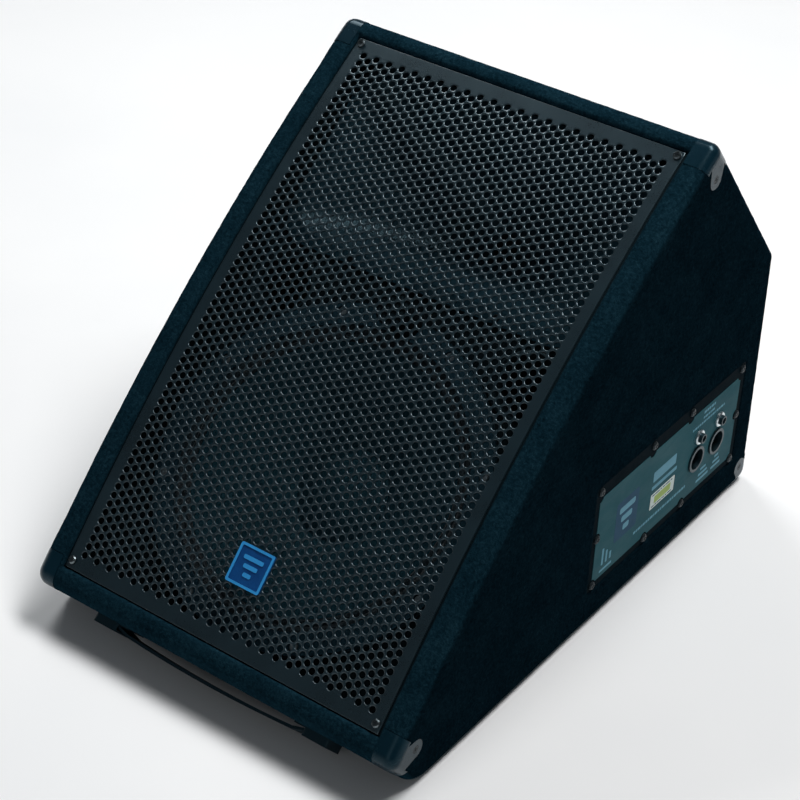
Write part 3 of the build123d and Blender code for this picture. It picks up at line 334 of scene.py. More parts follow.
def ink_material(name, colour, rough=0.45):
    m = Mat(name, Specular_IOR_Level=0.05)
    fleck = m.noise(2600.0, 2)
    cloud = m.noise(90.0, 3)
    lo = tuple(c * 0.80 for c in colour)
    hi = tuple(min(1, c * 1.1) for c in colour)
    m.set(Base_Color=m.ramp(m.math("ADD", m.math("MULTIPLY", cloud, 0.5), m.math("MULTIPLY", fleck, 0.5)), [(0.3, lo), (0.5, colour), (0.75, hi)]),
          Roughness=m.math("MULTIPLY_ADD", fleck, 0.15, rough - 0.07))
    m.set(Normal=m.bump(fleck, 0.1, 0.00003))
    return m.mat


def copper_winding_material():
    m = Mat("copper_winding", Metallic=1.0)
    turns = m.wave(330.0, 0.3, 1.0, 1.0, direction="X")
    n = m.noise(200.0, 3)
    m.set(Base_Color=m.ramp(m.math("ADD", m.math("MULTIPLY", turns, 0.6), m.math("MULTIPLY", n, 0.4)), [(0.2, (0.25, 0.06, 0.02)), (0.55, (0.62, 0.20, 0.07)), (0.85, (0.80, 0.33, 0.14))]),
          Roughness=m.fit(n, 0.3, 0.7, 0.28, 0.45))
    m.set(Normal=m.bump(turns, 0.5, 0.0003))
    return m.mat


def ferrite_material():
    m = Mat("ferrite_ceramic", Roughness=0.6)
    n = m.noise(700.0, 5, 0.7)
    chips = m.voro(160.0)
    m.set(Base_Color=m.ramp(n, [(0.3, (0.012, 0.012, 0.013)), (0.6, (0.030, 0.030, 0.032)), (0.8, (0.055, 0.055, 0.057))]), Roughness=m.fit(chips, 0.1, 0.5, 0.5, 0.7))
    m.set(Normal=m.bump(n, 0.4, 0.0002))
    return m.mat


BLACK = (0.0030, 0.0080, 0.0110)
MATS = {
    "carpet": carpet_material(),
    "plywood": plywood_material(),
    "baffle_black": baffle_material(),
    "grille_paint": grille_material(),
    "panel_overlay": overlay_material(),
    "badge_blue": badge_material(),
    "screw_black": metal("screw_black_oxide", (0.035, 0.045, 0.050), 0.45, tarnish=(0.016, 0.022, 0.026)),
    "screw_zinc": metal("screw_zinc", (0.62, 0.70, 0.74), 0.34, tarnish=(0.36, 0.44, 0.48)),
    "corner_plastic": moulded("corner_gloss_plastic", (0.0022, 0.0140, 0.0230), 0.24, 700.0, 0.00003, 0.12, 0.22, 0.0, 0.15),
    "circuit_board": moulded("circuit_board_green", (0.010, 0.070, 0.028), 0.35, 1200.0),
    "capacitor_film": moulded("capacitor_sleeve", (0.040, 0.060, 0.160), 0.35, 500.0),
    "copper": copper_winding_material(),
    "brass": metal("brass_turned", (0.78, 0.55, 0.22), 0.32),
    "wadding": wadding_material(),
    "foam_rubber": foam_material(),
    "handle_plastic": moulded("handle_cap_plastic", (0.0036, 0.0120, 0.0180), 0.50, 1100.0, 0.00006, 0.35, 0.25),
    "handle_rubber": moulded("handle_strap_rubber", (0.0030, 0.0100, 0.0150), 0.60, 600.0, 0.00008, 0.4, 0.2),
    "titanium": metal("titanium_dome", (0.50, 0.47, 0.43), 0.28, scratch=(200, 200, 200)),
    "driver_steel": metal("driver_painted_steel", (0.10, 0.11, 0.12), 0.5, tarnish=(0.05, 0.055, 0.06)),
    "wire_jacket": moulded("wire_insulation", (0.10, 0.012, 0.010), 0.4, 900.0),
    "abs_black": moulded("abs_black", (0.0040, 0.0100, 0.0135), 0.38, 1400.0, 0.00005, 0.25),
    "horn_plastic": moulded("horn_moulded_abs", (0.0085, 0.0290, 0.0430), 0.42, 1500.0, 0.00005, 0.3, 0.28),
    "plate_paint": moulded("plate_powder_coat", (0.0014, 0.0055, 0.0085), 0.75, 1300.0, 0.00008, 0.4, 0.02),
    "nickel": metal("nickel_plate", (0.72, 0.78, 0.80), 0.26, tarnish=(0.50, 0.56, 0.58)),
    "label_white": ink_material("label_paper_white", (0.52, 0.60, 0.58), 0.5),
    "former": moulded("polyimide_former", (0.42, 0.20, 0.05), 0.35, 800.0),
    "basket_paint": moulded("basket_paint", (0.0060, 0.0190, 0.0280), 0.45, 900.0, 0.00006, 0.3, 0.25),
    "cone_paper": paper_cone_material(),
    "gasket_fibre": moulded("gasket_pressed_fibre", (0.0125, 0.0360, 0.0520), 0.6, 500.0, 0.00015, 0.5, 0.12),
    "ferrite": ferrite_material(),
    "spider_cloth": cloth_material("spider_cloth", (0.20, 0.11, 0.04), (0.42, 0.26, 0.10), (0.60, 0.42, 0.20)),
    "surround_cloth": cloth_material("surround_treated_cloth", (0.0035, 0.0100, 0.0140), (0.0080, 0.0210, 0.0290), (0.0150, 0.0360, 0.0480), rough=0.55),
    "terminal_board": moulded("phenolic_board", (0.16, 0.075, 0.030), 0.5, 600.0),
}
SLOT_OF = {}
for part in frame["record"]["subparts"]:
    n, k = part["node"], part["material_slot"]
    SLOT_OF[n] = k
    NODES[n].data.materials.clear()
    NODES[n].data.materials.append(MATS[k])
    NODES[n].data.polygons.foreach_set("material_index", [0] * len(NODES[n].data.polygons))
dark_screw = metal("grille_screw_dark", (0.16, 0.19, 0.20), 0.30, tarnish=(0.07, 0.09, 0.10))
NODES["grille_screws"].data.materials[0] = dark_screw
print("nodes without a slot", sorted(set(NODES) - set(SLOT_OF)))


# ---------------------------------------------------------------- mesh helpers
def make(name, verts, faces, slot, smooth=None, body="root", replace=(), mat=None):
    """A mesh piece from millimetre points, riding on a body."""
    me = bpy.data.meshes.new(name)
    me.from_pydata([(v[0] * 0.001, v[1] * 0.001, v[2] * 0.001) for v in verts], [], [list(f) for f in faces])
    me.validate()
    if smooth is not None:
        vals = [bool(smooth)] * len(me.polygons) if isinstance(smooth, bool) else list(smooth)
        me.polygons.foreach_set("use_smooth", vals)
    ob = bpy.data.objects.new(name, me)
    bpy.context.scene.collection.objects.link(ob)
    me.materials.append(mat or MATS[slot])
    if replace:
        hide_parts(*replace)
    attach(ob, body)
    return ob


# ---------------------------------------------------------------- grille: a bowed sheet with staggered round holes
def build_grille():
    X1, Q0, Q1 = 165.0, 16.0, 542.3
    T0, T1 = GR_T0, GR_T1
    PX, PQ, R = 6.9, 8.0, 3.02
    COLS, ROWS = 45, 63
    FX, FQ0 = COLS * PX / 2, 279.2 - ROWS * PQ / 2
    verts, faces, smooth, index = [], [], [], {}

    def v(x, q, t):
        k = (round(x * 200), round(q * 200), round(t * 200))
        if k not in index:
            index[k] = len(verts)
            verts.append(on_front(x, q, bow_d(q, t)))
        return index[k]

    def face(f, s):
        faces.append(f)
        smooth.append(s)

    sides = 16
    ring = [(math.cos(math.tau * (k + 2) / sides), math.sin(math.tau * (k + 2) / sides)) for k in range(sides)]
    edge = [(0.5, 0.5), (0, 0.5), (-0.5, 0.5), (-0.5, 0), (-0.5, -0.5), (0, -0.5), (0.5, -0.5), (0.5, 0)]
    for i in range(COLS):
        x = -FX + (i + 0.5) * PX
        n = ROWS if i % 2 == 0 else ROWS - 1
        off = 0.0 if i % 2 == 0 else PQ / 2
        for j in range(n):
            q = FQ0 + off + (j + 0.5) * PQ
            b = [(x + ex * PX, q + eq * PQ) for ex, eq in edge]
            rings = []
            for r, t in ((R + 0.52, T0), (R + 0.20, T0 + 0.13), (R, T0 + 0.50), (R, T1)):
                rings.append([v(x + r * c, q + r * s, t) for c, s in ring])
            for k in range(8):
                # boundary points go round from the (+,+) corner, the ring starts there too
                a0, a1, a2 = (2 * k) % sides, (2 * k + 1) % sides, (2 * k + 2) % sides
                p, p2 = b[k], b[(k + 1) % 8]
                face([rings[0][a0], v(*p, T0), v(*p2, T0), rings[0][a2], rings[0][a1]], True)
                face([rings[3][a1], rings[3][a2], v(*p2, T1), v(*p, T1), rings[3][a0]], False)
            for lv in range(3):
                for k in range(sides):
                    k2 = (k + 1) % sides
                    face([rings[lv][k], rings[lv][k2], rings[lv + 1][k2], rings[lv + 1][k]], True)
        if off:
            for qa, qb in ((FQ0, FQ0 + off), (FQ0 + ROWS * PQ - off, FQ0 + ROWS * PQ)):
                for t, flip in ((T0, False), (T1, True)):
                    f = [v(x - PX / 2, qa, t), v(x, qa, t), v(x + PX / 2, qa, t), v(x + PX / 2, qb, t), v(x, qb, t), v(x - PX / 2, qb, t)]
                    face(f[::-1] if flip else f, False)
    # plain margins
    xs = [-FX + i * PX / 2 for i in range(2 * COLS + 1)]
    qs = [FQ0 + j * PQ / 2 for j in range(2 * ROWS + 1)]
    xa, xb = [-X1 + 0.5, -X1 + 5, *xs, X1 - 5, X1 - 0.5], [Q0 + 0.5, Q0 + 4, *qs, Q1 - 4, Q1 - 0.5]
    for i in range(len(xa) - 1):
        for j in range(len(xb) - 1):
            inside = 2 <= i < len(xa) - 3 and 2 <= j < len(xb) - 3
            if inside:
                continue
            for t, flip in ((T0, False), (T1, True)):
                f = [v(xa[i], xb[j], t), v(xa[i + 1], xb[j], t), v(xa[i + 1], xb[j + 1], t), v(xa[i], xb[j + 1], t)]
                face(f[::-1] if flip else f, False)
    # rolled outer edge
    rim = [(x, xb[0]) for x in xa] + [(xa[-1], q) for q in xb[1:]] + [(x, xb[-1]) for x in xa[::-1][1:]] + [(xa[0], q) for q in xb[::-1][1:-1]]

    def out(p, e, t):
        x = p[0] + (e if p[0] == xa[-1] else -e if p[0] == xa[0] else 0)
        q = p[1] + (e if p[1] == xb[-1] else -e if p[1] == xb[0] else 0)
        return v(x, q, t)

    prof = [(0.0, T0), (0.35, T0 + 0.15), (0.5, T0 + 0.5), (0.5, T1 - 0.3), (0.3, T1 - 0.06), (0.0, T1)]
    for k in range(len(rim)):
        p, p2 = rim[k], rim[(k + 1) % len(rim)]
        for (e0, t0), (e1, t1) in zip(prof, prof[1:]):
            face([out(p, e0, t0), out(p, e1, t1), out(p2, e1, t1), out(p2, e0, t0)], True)
    return make("grille_perforated", verts, faces, "grille_paint", smooth, replace=["grille"])


build_grille()


# ---------------------------------------------------------------- carpet
def profile():
    """Samples round the wedge: (y, z, inward normal y, z, kind, q). Runs A to B over the bowed front, then B C D E and back."""
    sa, sb = (280.0 - QA) / BOW_R, 280.0 / BOW_R
    ca, cb = math.sqrt(1 - sa * sa), math.sqrt(1 - sb * sb)
    tan_a = (U[0] * ca + NO[0] * sa, U[1] * ca + NO[1] * sa)
    tan_b = (U[0] * cb - NO[0] * sb, U[1] * cb - NO[1] * sb)
    dirs_in, dirs_out = [None] * 5, [None] * 5
    for i in range(5):
        p, q = CORNERS[i], CORNERS[(i + 1) % 5]
        L = math.hypot(q[0] - p[0], q[1] - p[1])
        d = ((q[0] - p[0]) / L, (q[1] - p[1]) / L)
        dirs_out[i] = tan_a if i == 0 else d
        dirs_in[(i + 1) % 5] = tan_b if i == 0 else d
    T, phis = [], []
    for i in range(5):
        a, b = dirs_in[i], dirs_out[i]
        phi = math.acos(max(-1, min(1, a[0] * b[0] + a[1] * b[1])))
        phis.append(phi)
        T.append(RADII[i] * math.tan(phi / 2))
    samples = []
    # front
    lipq = [0.0, 0.15, 0.6, 1.4, 2.5, 4.0]
    qa, qb = QA + T[0] * ca, FRONT_L - T[1] * cb
    qs = [qa] + sorted({round(WELL_LO - e, 4) for e in lipq}) + list(np.linspace(WELL_LO, WELL_HI, 176)[1:-1]) + sorted({round(WELL_HI + e, 4) for e in lipq}) + [qb]
    for q in qs:
        d = bow_d(q)
        y, z = fq(q, d)
        sl = (q - 280.0) / BOW_R
        c = math.sqrt(1 - sl * sl)
        samples.append((y, z, -(NO[0] * c + U[0] * sl), -(NO[1] * c + U[1] * sl), "front", q))
    for i in (1, 2, 3, 4, 0):
        P, a, b, R = CORNERS[i], dirs_in[i], dirs_out[i], RADII[i]
        n0 = (a[1], -a[0])
        cy, cz = P[0] - a[0] * T[i] + n0[0] * R, P[1] - a[1] * T[i] + n0[1] * R
        steps = max(6, int(R * phis[i] / 2.4))
        for k in range(0 if i != 1 else 1, steps + (1 if i != 0 else 0)):
            if i == 1 and k == 0:
                continue
            th = -phis[i] * k / steps
            # rotate the outward normal clockwise
            oy, oz = -n0[0], -n0[1]
            ry, rz = oy * math.cos(th) - oz * math.sin(th), oy * math.sin(th) + oz * math.cos(th)
            samples.append((cy + ry * R, cz + rz * R, -ry, -rz, "corner%d" % i, 0))
        if i != 0:
            j = (i + 1) % 5
            s = (P[0] + b[0] * T[i], P[1] + b[1] * T[i])
            e = (CORNERS[j][0] - b[0] * T[j], CORNERS[j][1] - b[1] * T[j])
            L = math.hypot(e[0] - s[0], e[1] - s[1])
            m = max(2, int(L / 3.2))
            nn = (b[1], -b[0])
            for k in range(1, m):
                samples.append((s[0] + (e[0] - s[0]) * k / m, s[1] + (e[1] - s[1]) * k / m, nn[0], nn[1], "flat%d" % i, L * k / m))
    return samples


def inside_polygon(px, py, poly):
    res = np.zeros(len(px), bool)
    n = len(poly)
    for i in range(n):
        x0, y0 = poly[i]
        x1, y1 = poly[(i + 1) % n]
        if y0 == y1:
            continue
        c = ((y0 > py) != (y1 > py)) & (px < (x1 - x0) * (py - y0) / (y1 - y0) + x0)
        res ^= c
    return res


def edge_distance(px, py, poly):
    d = np.full(len(px), 1e9)
    n = len(poly)
    for i in range(n):
        x0, y0 = poly[i]
        x1, y1 = poly[(i + 1) % n]
        L2 = (x1 - x0) ** 2 + (y1 - y0) ** 2
        if L2 < 1e-9:
            continue
        t = np.clip(((px - x0) * (x1 - x0) + (py - y0) * (y1 - y0)) / L2, 0, 1)
        d = np.minimum(d, np.hypot(px - x0 - t * (x1 - x0), py - y0 - t * (y1 - y0)))
    return d


def sstep(x):
    x = min(1.0, max(0.0, x))
    return x * x * (3 - 2 * x)


# corner protectors: sharp corner, directions along its two edges, where the side tongue ends
GUARDS = (
    (CORNERS[1], (-U[0], -U[1]), (-NO[0], -NO[1]), 23.0, 23.0),
    (CORNERS[0], (U[0], U[1]), (-NO[0], -NO[1]), 25.0, 21.0),
    (CORNERS[3], (0.0, 1.0), (-1.0, 0.0), 20.0, 18.0),
)
PATCH_X, PATCH_L, PATCH_W = 169.0, 28.0, 7.0


def tongue_outline(h1, h2):
    """Convex pieces of a protector's side tongue, in its own two edge directions."""
    end = [(h1 + 9.0 * math.cos(math.tau * k / 18), h2 + 9.0 * math.sin(math.tau * k / 18)) for k in range(18)]
    root = [(10 + 12.0 * math.cos(math.tau * k / 18), 10 + 12.0 * math.sin(math.tau * k / 18)) for k in range(18)]
    web = [(h1 + 6.4, h2 - 6.4), (h1 - 6.4, h2 + 6.4), (0, 17), (17, 0)]
    return [end, root, web]


def cut_for_protectors(bm):
    """Cut the cover clean along the outline of each corner protector and take out what lies under it."""
    mm = 0.001
    for gc, e1, e2, h1, h2 in GUARDS:
        polys = tongue_outline(h1, h2)

        def ab(p):
            dy, dz = p.y / mm - gc[0], p.z / mm - gc[1]
            return dy * e1[0] + dz * e1[1], dy * e2[0] + dz * e2[1]

        for side in (1, -1):
            def near(x_from):
                out = []
                for f in bm.faces:
                    c = f.calc_center_median()
                    if side * c.x > x_from * mm and math.hypot(c.y / mm - gc[0], c.z / mm - gc[1]) < 46:
                        out.append(f)
                return out

            def cut(x_from, co, no):
                fs = near(x_from)
                geom = list({v for f in fs for v in f.verts}) + list({e for f in fs for e in f.edges}) + fs
                bmesh.ops.bisect_plane(bm, geom=geom, dist=0.000002, plane_co=co, plane_no=no)

            cut(150, (side * PATCH_X * mm, 0, 0), (1, 0, 0))
            for e, far in ((e1, PATCH_L), (e1, PATCH_W), (e2, PATCH_L), (e2, PATCH_W)):
                cut(165, (0, (gc[0] + e[0] * far) * mm, (gc[1] + e[1] * far) * mm), (0, e[0], e[1]))
            for poly in polys:
                m = len(poly)
                for k in range(m):
                    (a0, b0), (a1, b1) = poly[k], poly[(k + 1) % m]
                    if max(a0, a1) < PATCH_W and max(b0, b1) < PATCH_W:
                        continue
                    na, nb = b1 - b0, a0 - a1
                    L = math.hypot(na, nb)
                    no = (0, (e1[0] * na + e2[0] * nb) / L, (e1[1] * na + e2[1] * nb) / L)
                    cut(186.5, (0, (gc[0] + e1[0] * a0 + e2[0] * b0) * mm, (gc[1] + e1[1] * a0 + e2[1] * b0) * mm), no)
            gone = []
            for f in near(150):
                c = f.calc_center_median()
                if side * c.x < PATCH_X * mm:
                    continue
                a, b = ab(c)
                hit = (a < PATCH_L and b < PATCH_W) or (a < PATCH_W and b < PATCH_L)
                if not hit and side * c.x > 184.5 * mm:
                    hit = any(inside_polygon(np.array([a]), np.array([b]), poly)[0] for poly in polys)
                if hit:
                    gone.append(f)
            bmesh.ops.delete(bm, geom=gone, context="FACES")
    bm.normal_update()


def build_carpet():
    S = profile()
    n = len(S)
    LIP = 4.0
    lip = [0.0, 0.15, 0.6, 1.4, 2.5, 4.0]
    half = [WELL_X + e for e in lip] + [173.0]
    mid = list(np.linspace(-WELL_X, WELL_X, 111))
    ARC = 9
    verts, faces = [], []

    def rim_r(kind, q):
        if kind != "front":
            return 10.0
        return 10.0 + 1.6 * sstep((q - 30) / 26) * sstep((530 - q) / 26)

    rows = []
    for (y, z, ny, nz, kind, q) in S:
        r = rim_r(kind, q)
        xs = [-(HALF_W - r)] + [-x for x in half[::-1]][:-1] + mid + half[1:] + [HALF_W - r]
        row = []
        for x in xs:
            a = 0.0
            if kind == "front":
                dx = max(abs(x) - WELL_X, 0.0)
                dq = max(WELL_LO - q, q - WELL_HI, 0.0)
                dl = math.hypot(dx, dq)
                if dl < LIP:
                    a = LIP - math.sqrt(max(0.0, LIP ** 2 - (LIP - dl) ** 2))
            row.append((x, y + ny * a, z + nz * a))
        left, right = [], []
        for k in range(1, ARC + 1):
            ph = math.pi / 2 * k / ARC
            dx, dn = r * math.sin(ph), r * (1 - math.cos(ph))
            right.append((HALF_W - r + dx, y + ny * dn, z + nz * dn))
            left.append((-(HALF_W - r + dx), y + ny * dn, z + nz * dn))
        rows.append(left[::-1] + row + right)
    w = len(rows[0])
    for row in rows:
        verts.extend(row)
    ix = [v[0] for v in rows[0]]
    for i in range(n):
        i2 = (i + 1) % n
        k1, k2 = S[i][4], S[i2][4]
        qa, qb = S[i][5], S[i2][5]
        for j in range(w - 1):
            xm = (rows[i][j][0] + rows[i][j + 1][0]) / 2
            if k1 == "front" and k2 == "front" and qa >= WELL_LO - 1e-6 and qb <= WELL_HI + 1e-6 and abs(xm) < WELL_X:
                continue
            faces.append((i * w + j, i * w + j + 1, i2 * w + j + 1, i2 * w + j))
    # walls of the front opening
    jl = min(range(w), key=lambda j: abs(ix[j] + WELL_X))
    jr = min(range(w), key=lambda j: abs(ix[j] - WELL_X))
    i0 = next(i for i in range(n) if S[i][4] == "front" and S[i][5] >= WELL_LO - 1e-6)
    i1 = max(i for i in range(n) if S[i][4] == "front" and S[i][5] <= WELL_HI + 1e-6)
    loop = [(i0, j) for j in range(jl, jr + 1)] + [(i, jr) for i in range(i0 + 1, i1 + 1)] + [(i1, j) for j in range(jr - 1, jl - 1, -1)] + [(i, jl) for i in range(i1 - 1, i0, -1)]
    prev = [i * w + j for i, j in loop]
    LV = 9
    for lv in range(1, LV + 1):
        cur = []
        for i, j in loop:
            x, y, z = rows[i][j]
            q = S[i][5]
            d0 = (y - YO) * NO[0] + (z - ZO) * NO[1]
            q0 = (y - YO) * U[0] + (z - ZO) * U[1]
            d = d0 + (-DB - d0) * lv / LV
            cur.append(len(verts))
            yy, zz = fq(q0 + (q - q0) * min(1, lv / 2), d)
            verts.append((x, yy, zz))
        m = len(loop)
        for k in range(m):
            k2 = (k + 1) % m
            faces.append((prev[k], prev[k2], cur[k2], cur[k]))
        prev = cur
    # flat of both sides
    plate = [(-6.0, 38.0), (249.0, 38.0), (249.0, 150.0), (-6.0, 150.0)]
    pl = []
    for (cy, cz, a0) in ((-2.0, 42.0, 180), (245.0, 42.0, 270), (245.0, 146.0, 0), (-2.0, 146.0, 90)):
        for k in range(5):
            a = math.radians(a0 + 22.5 * k)
            pl.append((cy + 4.15 * math.cos(a), cz + 4.15 * math.sin(a)))
    dense = []
    for k in range(len(pl)):
        p, p2 = pl[k], pl[(k + 1) % len(pl)]
        L = math.hypot(p2[0] - p[0], p2[1] - p[1])
        m = max(1, int(L / 3.0))
        dense += [(p[0] + (p2[0] - p[0]) * t / m, p[1] + (p2[1] - p[1]) * t / m) for t in range(m)]
    rng = np.random.default_rng(7)
    for side in (1, -1):
        j = w - 1 if side > 0 else 0
        ring = []
        for i in range(n):
            p = (rows[i][j][1], rows[i][j][2])
            if not ring or math.hypot(p[0] - ring[-1][0], p[1] - ring[-1][1]) > 0.02:
                ring.append(p)
        while math.hypot(ring[0][0] - ring[-1][0], ring[0][1] - ring[-1][1]) <= 0.02:
            ring.pop()
        step = 3.3
        gy, gz = np.meshgrid(np.arange(-300, 300, step), np.arange(0, 430, step * 0.866))
        gy = gy + (np.arange(gz.shape[0])[:, None] % 2) * step / 2
        gy, gz = gy.ravel() + rng.uniform(-0.5, 0.5, gy.size), gz.ravel() + rng.uniform(-0.5, 0.5, gz.size)
        ok = inside_polygon(gy, gz, ring) & (edge_distance(gy, gz, ring) > 1.8)
        if side > 0:
            ok &= ~(inside_polygon(gy, gz, dense) | (edge_distance(gy, gz, dense) < 1.6))
        pts = [Vector(p) for p in ring]
        edges = [(k, (k + 1) % len(ring)) for k in range(len(ring))]
        if side > 0:
            b = len(pts)
            pts += [Vector(p) for p in dense]
            edges += [(b + k, b + (k + 1) % len(dense)) for k in range(len(dense))]
        pts += [Vector((a, c)) for a, c in zip(gy[ok], gz[ok])]
        vo, _, fo, *_ = geometry.delaunay_2d_cdt(pts, edges, [], 0, 0.001)
        cen = np.array([[sum(vo[k][0] for k in f) / len(f), sum(vo[k][1] for k in f) / len(f)] for f in fo])
        keep = inside_polygon(cen[:, 0], cen[:, 1], ring)
        if side > 0:
            keep &= ~inside_polygon(cen[:, 0], cen[:, 1], dense)
        base = len(verts)
        verts.extend((side * HALF_W, p[0], p[1]) for p in vo)
        for f, k in zip(fo, keep):
            if k:
                f = [base + q for q in f]
                faces.append(f if side > 0 else f[::-1])
    me = bpy.data.meshes.new("carpet_cover")
    me.from_pydata([(a * 0.001, b * 0.001, c * 0.001) for a, b, c in verts], [], [list(f) for f in faces])
    bm = bmesh.new()
    bm.from_mesh(me)
    bmesh.ops.remove_doubles(bm, verts=bm.verts, dist=0.00003)
    bmesh.ops.dissolve_degenerate(bm, edges=bm.edges, dist=0.000005)
    loose = [v for v in bm.verts if not v.link_faces]
    bmesh.ops.delete(bm, geom=loose, context="VERTS")
    bmesh.ops.recalc_face_normals(bm, faces=bm.faces)
    bm.normal_update()
    # outward check: the highest face looks up
    top = max(bm.faces, key=lambda f: f.calc_center_median().z)
    if top.normal.z < 0:
        bmesh.ops.reverse_faces(bm, faces=bm.faces)
        bm.normal_update()
    cut_for_protectors(bm)
    # uneven lie of the pile: nap hills of a few millimetres
    moves = []
    for v in bm.verts:
        p = v.co
        h = 0.00016 * noise.noise(p * 120.0) + 0.00014 * noise.noise(p * 300.0 + Vector((3, 1, 7)))
        moves.append(p + v.normal * h)
    for v, p in zip(bm.verts, moves):
        v.co = p
    for f in bm.faces:
        f.smooth = True
    bm.to_mesh(me)
    bm.free()
    me.materials.append(MATS["carpet"])
    ob = bpy.data.objects.new("carpet_cover", me)
    bpy.context.scene.collection.objects.link(ob)
    so = ob.modifiers.new("thickness", "SOLIDIFY")
    so.thickness, so.offset, so.use_even_offset, so.use_rim = 0.0019, -1.0, False, True
    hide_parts("carpet_wrap", "carpet_left", "carpet_right")
    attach(ob, "root")
    return ob


build_carpet()


# ---------------------------------------------------------------- print on the input panel
def raised(name, rects, x0, x1, slot, mat, inset=0.03):
    """Thin raised bars on the side face: rects are (y0, z0, y1, z1, corner)."""
    verts, faces, smooth = [], [], []
    for y0, z0, y1, z1, r in rects:
        r = min(r, (y1 - y0) / 2 - 0.01, (z1 - z0) / 2 - 0.01)
        loops = []
        for x, e in ((x0, 0.0), (x1 - inset, 0.0), (x1, inset)):
            loop = []
            for cy, cz, a0 in ((y1 - r, z1 - r, 0), (y0 + r, z1 - r, 90), (y0 + r, z0 + r, 180), (y1 - r, z0 + r, 270)):
                for k in range(5):
                    a = math.radians(a0 + 22.5 * k)
                    loop.append(len(verts))
                    verts.append((x, cy + (r - e) * math.cos(a), cz + (r - e) * math.sin(a)))
            loops.append(loop)
        n = len(loops[0])
        for lo, hi in zip(loops, loops[1:]):
            for k in range(n):
                faces.append((lo[k], lo[(k + 1) % n], hi[(k + 1) % n], hi[k]))
                smooth.append(False)
        faces.append(loops[-1])
        smooth.append(False)
        faces.append(loops[0][::-1])
        smooth.append(False)
    return make(name, verts, faces, slot, smooth, mat=mat)


def dashes(y0, y1, z0, z1, widths, gap=0.9):
    """A run of short bars that fills y0 to y1."""
    out, y, k = [], y0, 0
    while y + widths[k % len(widths)] <= y1:
        w = widths[k % len(widths)]
        out.append((y, z0, y + w, z1, 0.25))
        y += w + gap
        k += 1
    return out


def build_print():
    F = 189.4
    pale = ink_material("print_pale", (0.110, 0.270, 0.350), 0.5)
    dark = ink_material("print_dark", (0.0120, 0.0560, 0.1050), 0.5)
    lime = ink_material("print_lime", (0.300, 0.400, 0.120), 0.5)
    # generic mark: three bars on a dark field, as on the badge
    raised("print_field", [(32, 70, 69, 112, 3.0)], F - 0.05, F + 0.05, "label_white", dark)
    raised("print_mark", [(37.5, 98, 63.5, 104.5, 2.0), (41.5, 87.6, 59.5, 94.1, 2.0), (45.5, 77.2, 55.5, 83.7, 2.0)], F, F + 0.09, "label_white", pale)
    rows = [(93, 100.5, 132, 111.5, 1.2), (92, 92.2, 135, 96.2, 0.8)]
    raised("print_bars", rows, F - 0.05, F + 0.06, "label_white", pale)
    fine = dashes(67, 158, 59.2, 62.0, (3.4, 2.2, 5.1, 1.6, 4.0)) + dashes(158, 217, 118.8, 121.2, (2.6, 4.2, 1.8, 3.4))
    fine += dashes(176, 200, 129.6, 132.4, (4.4, 2.4, 3.2)) + dashes(176, 196, 124.0, 126.4, (2.0, 4.8, 2.6))
    fine += [(12, 50.5, 32, 53.0, 0.6), (14, 57.5, 17, 75.5, 0.8), (20.5, 57.5, 23.5, 70.5, 0.8), (27, 57.5, 30, 65.5, 0.8)]
    fine += [(178, 51.5, 200, 54.2, 0.6), (181, 57.0, 197, 59.6, 0.6), (184, 62.4, 194, 65.0, 0.6)]
    fine += [(205, 51.5, 222, 54.2, 0.6), (207.5, 57.0, 219.5, 59.6, 0.6), (210, 62.4, 217, 65.0, 0.6)]
    raised("print_marks", fine, F - 0.05, F + 0.05, "label_white", pale)
    lo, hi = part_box("rating_label")
    lx = max(lo[0], hi[0]) * 1000
    raised("label_tint", [(98.5, 75.0, 126.5, 83.0, 0.8)], lx - 0.03, lx + 0.05, "label_white", lime)
    raised("label_lines", dashes(94.5, 131, 72.4, 73.6, (5.0, 3.0, 7.0)) + dashes(94.5, 131, 84.6, 85.8, (4.0, 8.0, 3.0)), lx - 0.03, lx + 0.05, "label_white", dark)


build_print()


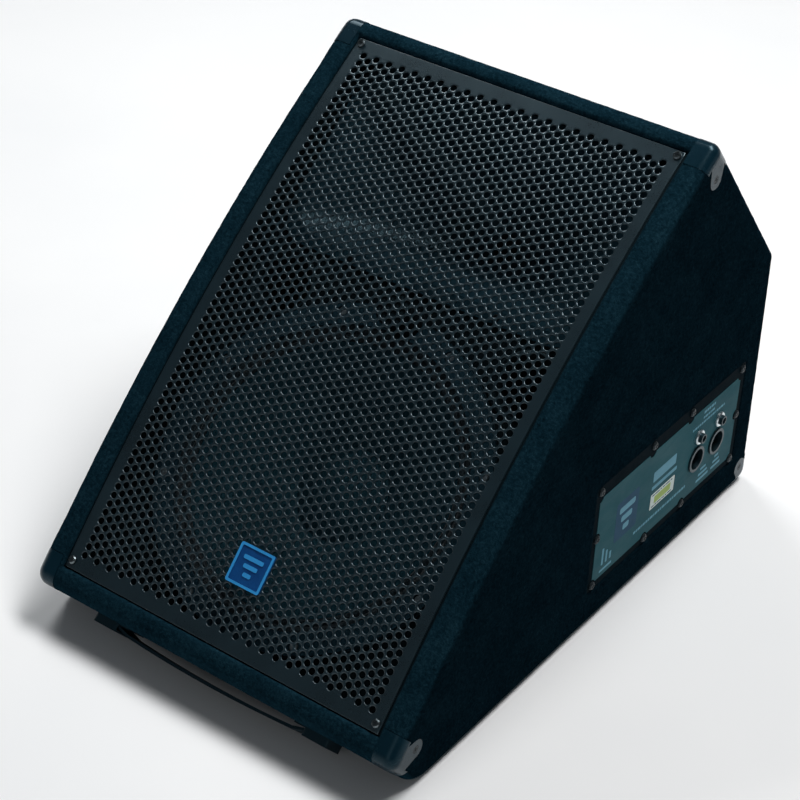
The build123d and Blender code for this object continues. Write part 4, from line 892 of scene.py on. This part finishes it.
# ---------------------------------------------------------------- studio
def build_stage():
    me = bpy.data.meshes.new("floor")
    bm = bmesh.new()
    k = 24
    grid = [[bm.verts.new(((i / k - 0.5) * 16.0, (j / k - 0.5) * 16.0, -0.0006)) for j in range(k + 1)] for i in range(k + 1)]
    for i in range(k):
        for j in range(k):
            bm.faces.new((grid[i][j], grid[i + 1][j], grid[i + 1][j + 1], grid[i][j + 1]))
    bm.to_mesh(me)
    bm.free()
    floor = bpy.data.objects.new("floor", me)
    bpy.context.scene.collection.objects.link(floor)
    m = Mat("studio_floor", Roughness=0.9, Specular_IOR_Level=0.15)
    m.set(Base_Color=m.ramp(m.noise(3.0, 3), [(0.3, (0.86, 0.865, 0.87)), (0.7, (0.90, 0.90, 0.90))]))
    me.materials.append(m.mat)

    def area(name, loc, aim, size, power, colour=(1, 1, 1), size_y=None):
        d = bpy.data.lights.new(name, "AREA")
        d.energy, d.color, d.shape, d.size, d.size_y = power, colour, "RECTANGLE", size, size_y or size
        o = bpy.data.objects.new(name, d)
        bpy.context.scene.collection.objects.link(o)
        o.location = loc
        o.rotation_mode = "QUATERNION"
        o.rotation_quaternion = (Vector(aim) - Vector(loc)).to_track_quat("-Z", "Y")
        return o

    area("overhead", (0.55, 0.80, 2.55), (0, 0, 0.2), 1.5, 66, (1, 1, 1), 0.7)
    area("left_fill", (-1.5, 0.9, 2.2), (0, 0, 0.2), 1.0, 26, (0.97, 0.99, 1))
    area("front_fill", (0.4, -2.9, 1.3), (0, 0, 0.2), 1.4, 5, (0.95, 0.98, 1))
    w = bpy.data.worlds.new("studio")
    bpy.context.scene.world = w
    w.use_nodes = True
    nt = w.node_tree
    nt.nodes.clear()
    out = nt.nodes.new("ShaderNodeOutputWorld")
    bg = nt.nodes.new("ShaderNodeBackground")
    co = nt.nodes.new("ShaderNodeTexCoord")
    sep = nt.nodes.new("ShaderNodeSeparateXYZ")
    ramp = nt.nodes.new("ShaderNodeValToRGB")
    nt.links.new(co.outputs["Generated"], sep.inputs[0])
    nt.links.new(sep.outputs["Z"], ramp.inputs[0])
    e = ramp.color_ramp.elements
    e[0].position, e[0].color = 0.06, (0.62, 0.63, 0.64, 1)
    e[1].position, e[1].color = 0.24, (0.06, 0.065, 0.07, 1)
    nt.links.new(ramp.outputs[0], bg.inputs[0])
    nt.links.new(bg.outputs[0], out.inputs[0])


def build_camera():
    cd = bpy.data.cameras.new("camera")
    cam = bpy.data.objects.new("camera", cd)
    bpy.context.scene.collection.objects.link(cam)
    cd.sensor_fit, cd.sensor_width, cd.lens = "HORIZONTAL", 36.0, 97.12
    cd.clip_start, cd.clip_end = 0.05, 60.0
    r = ((0.80461827, 0.59253439, 0.038632), (0.3606061, -0.43591541, -0.82458535), (-0.47175489, 0.67740737, -0.56441702))
    cols = (r[0], tuple(-v for v in r[1]), tuple(-v for v in r[2]))
    m = Matrix([[cols[c][i] for c in range(3)] for i in range(3)]).to_4x4()
    m.translation = Vector((0.87299, -1.28010, 1.21326))
    cam.matrix_world = m
    bpy.context.scene.camera = cam


build_stage()
build_camera()
bpy.context.scene.view_settings.view_transform = "Standard"
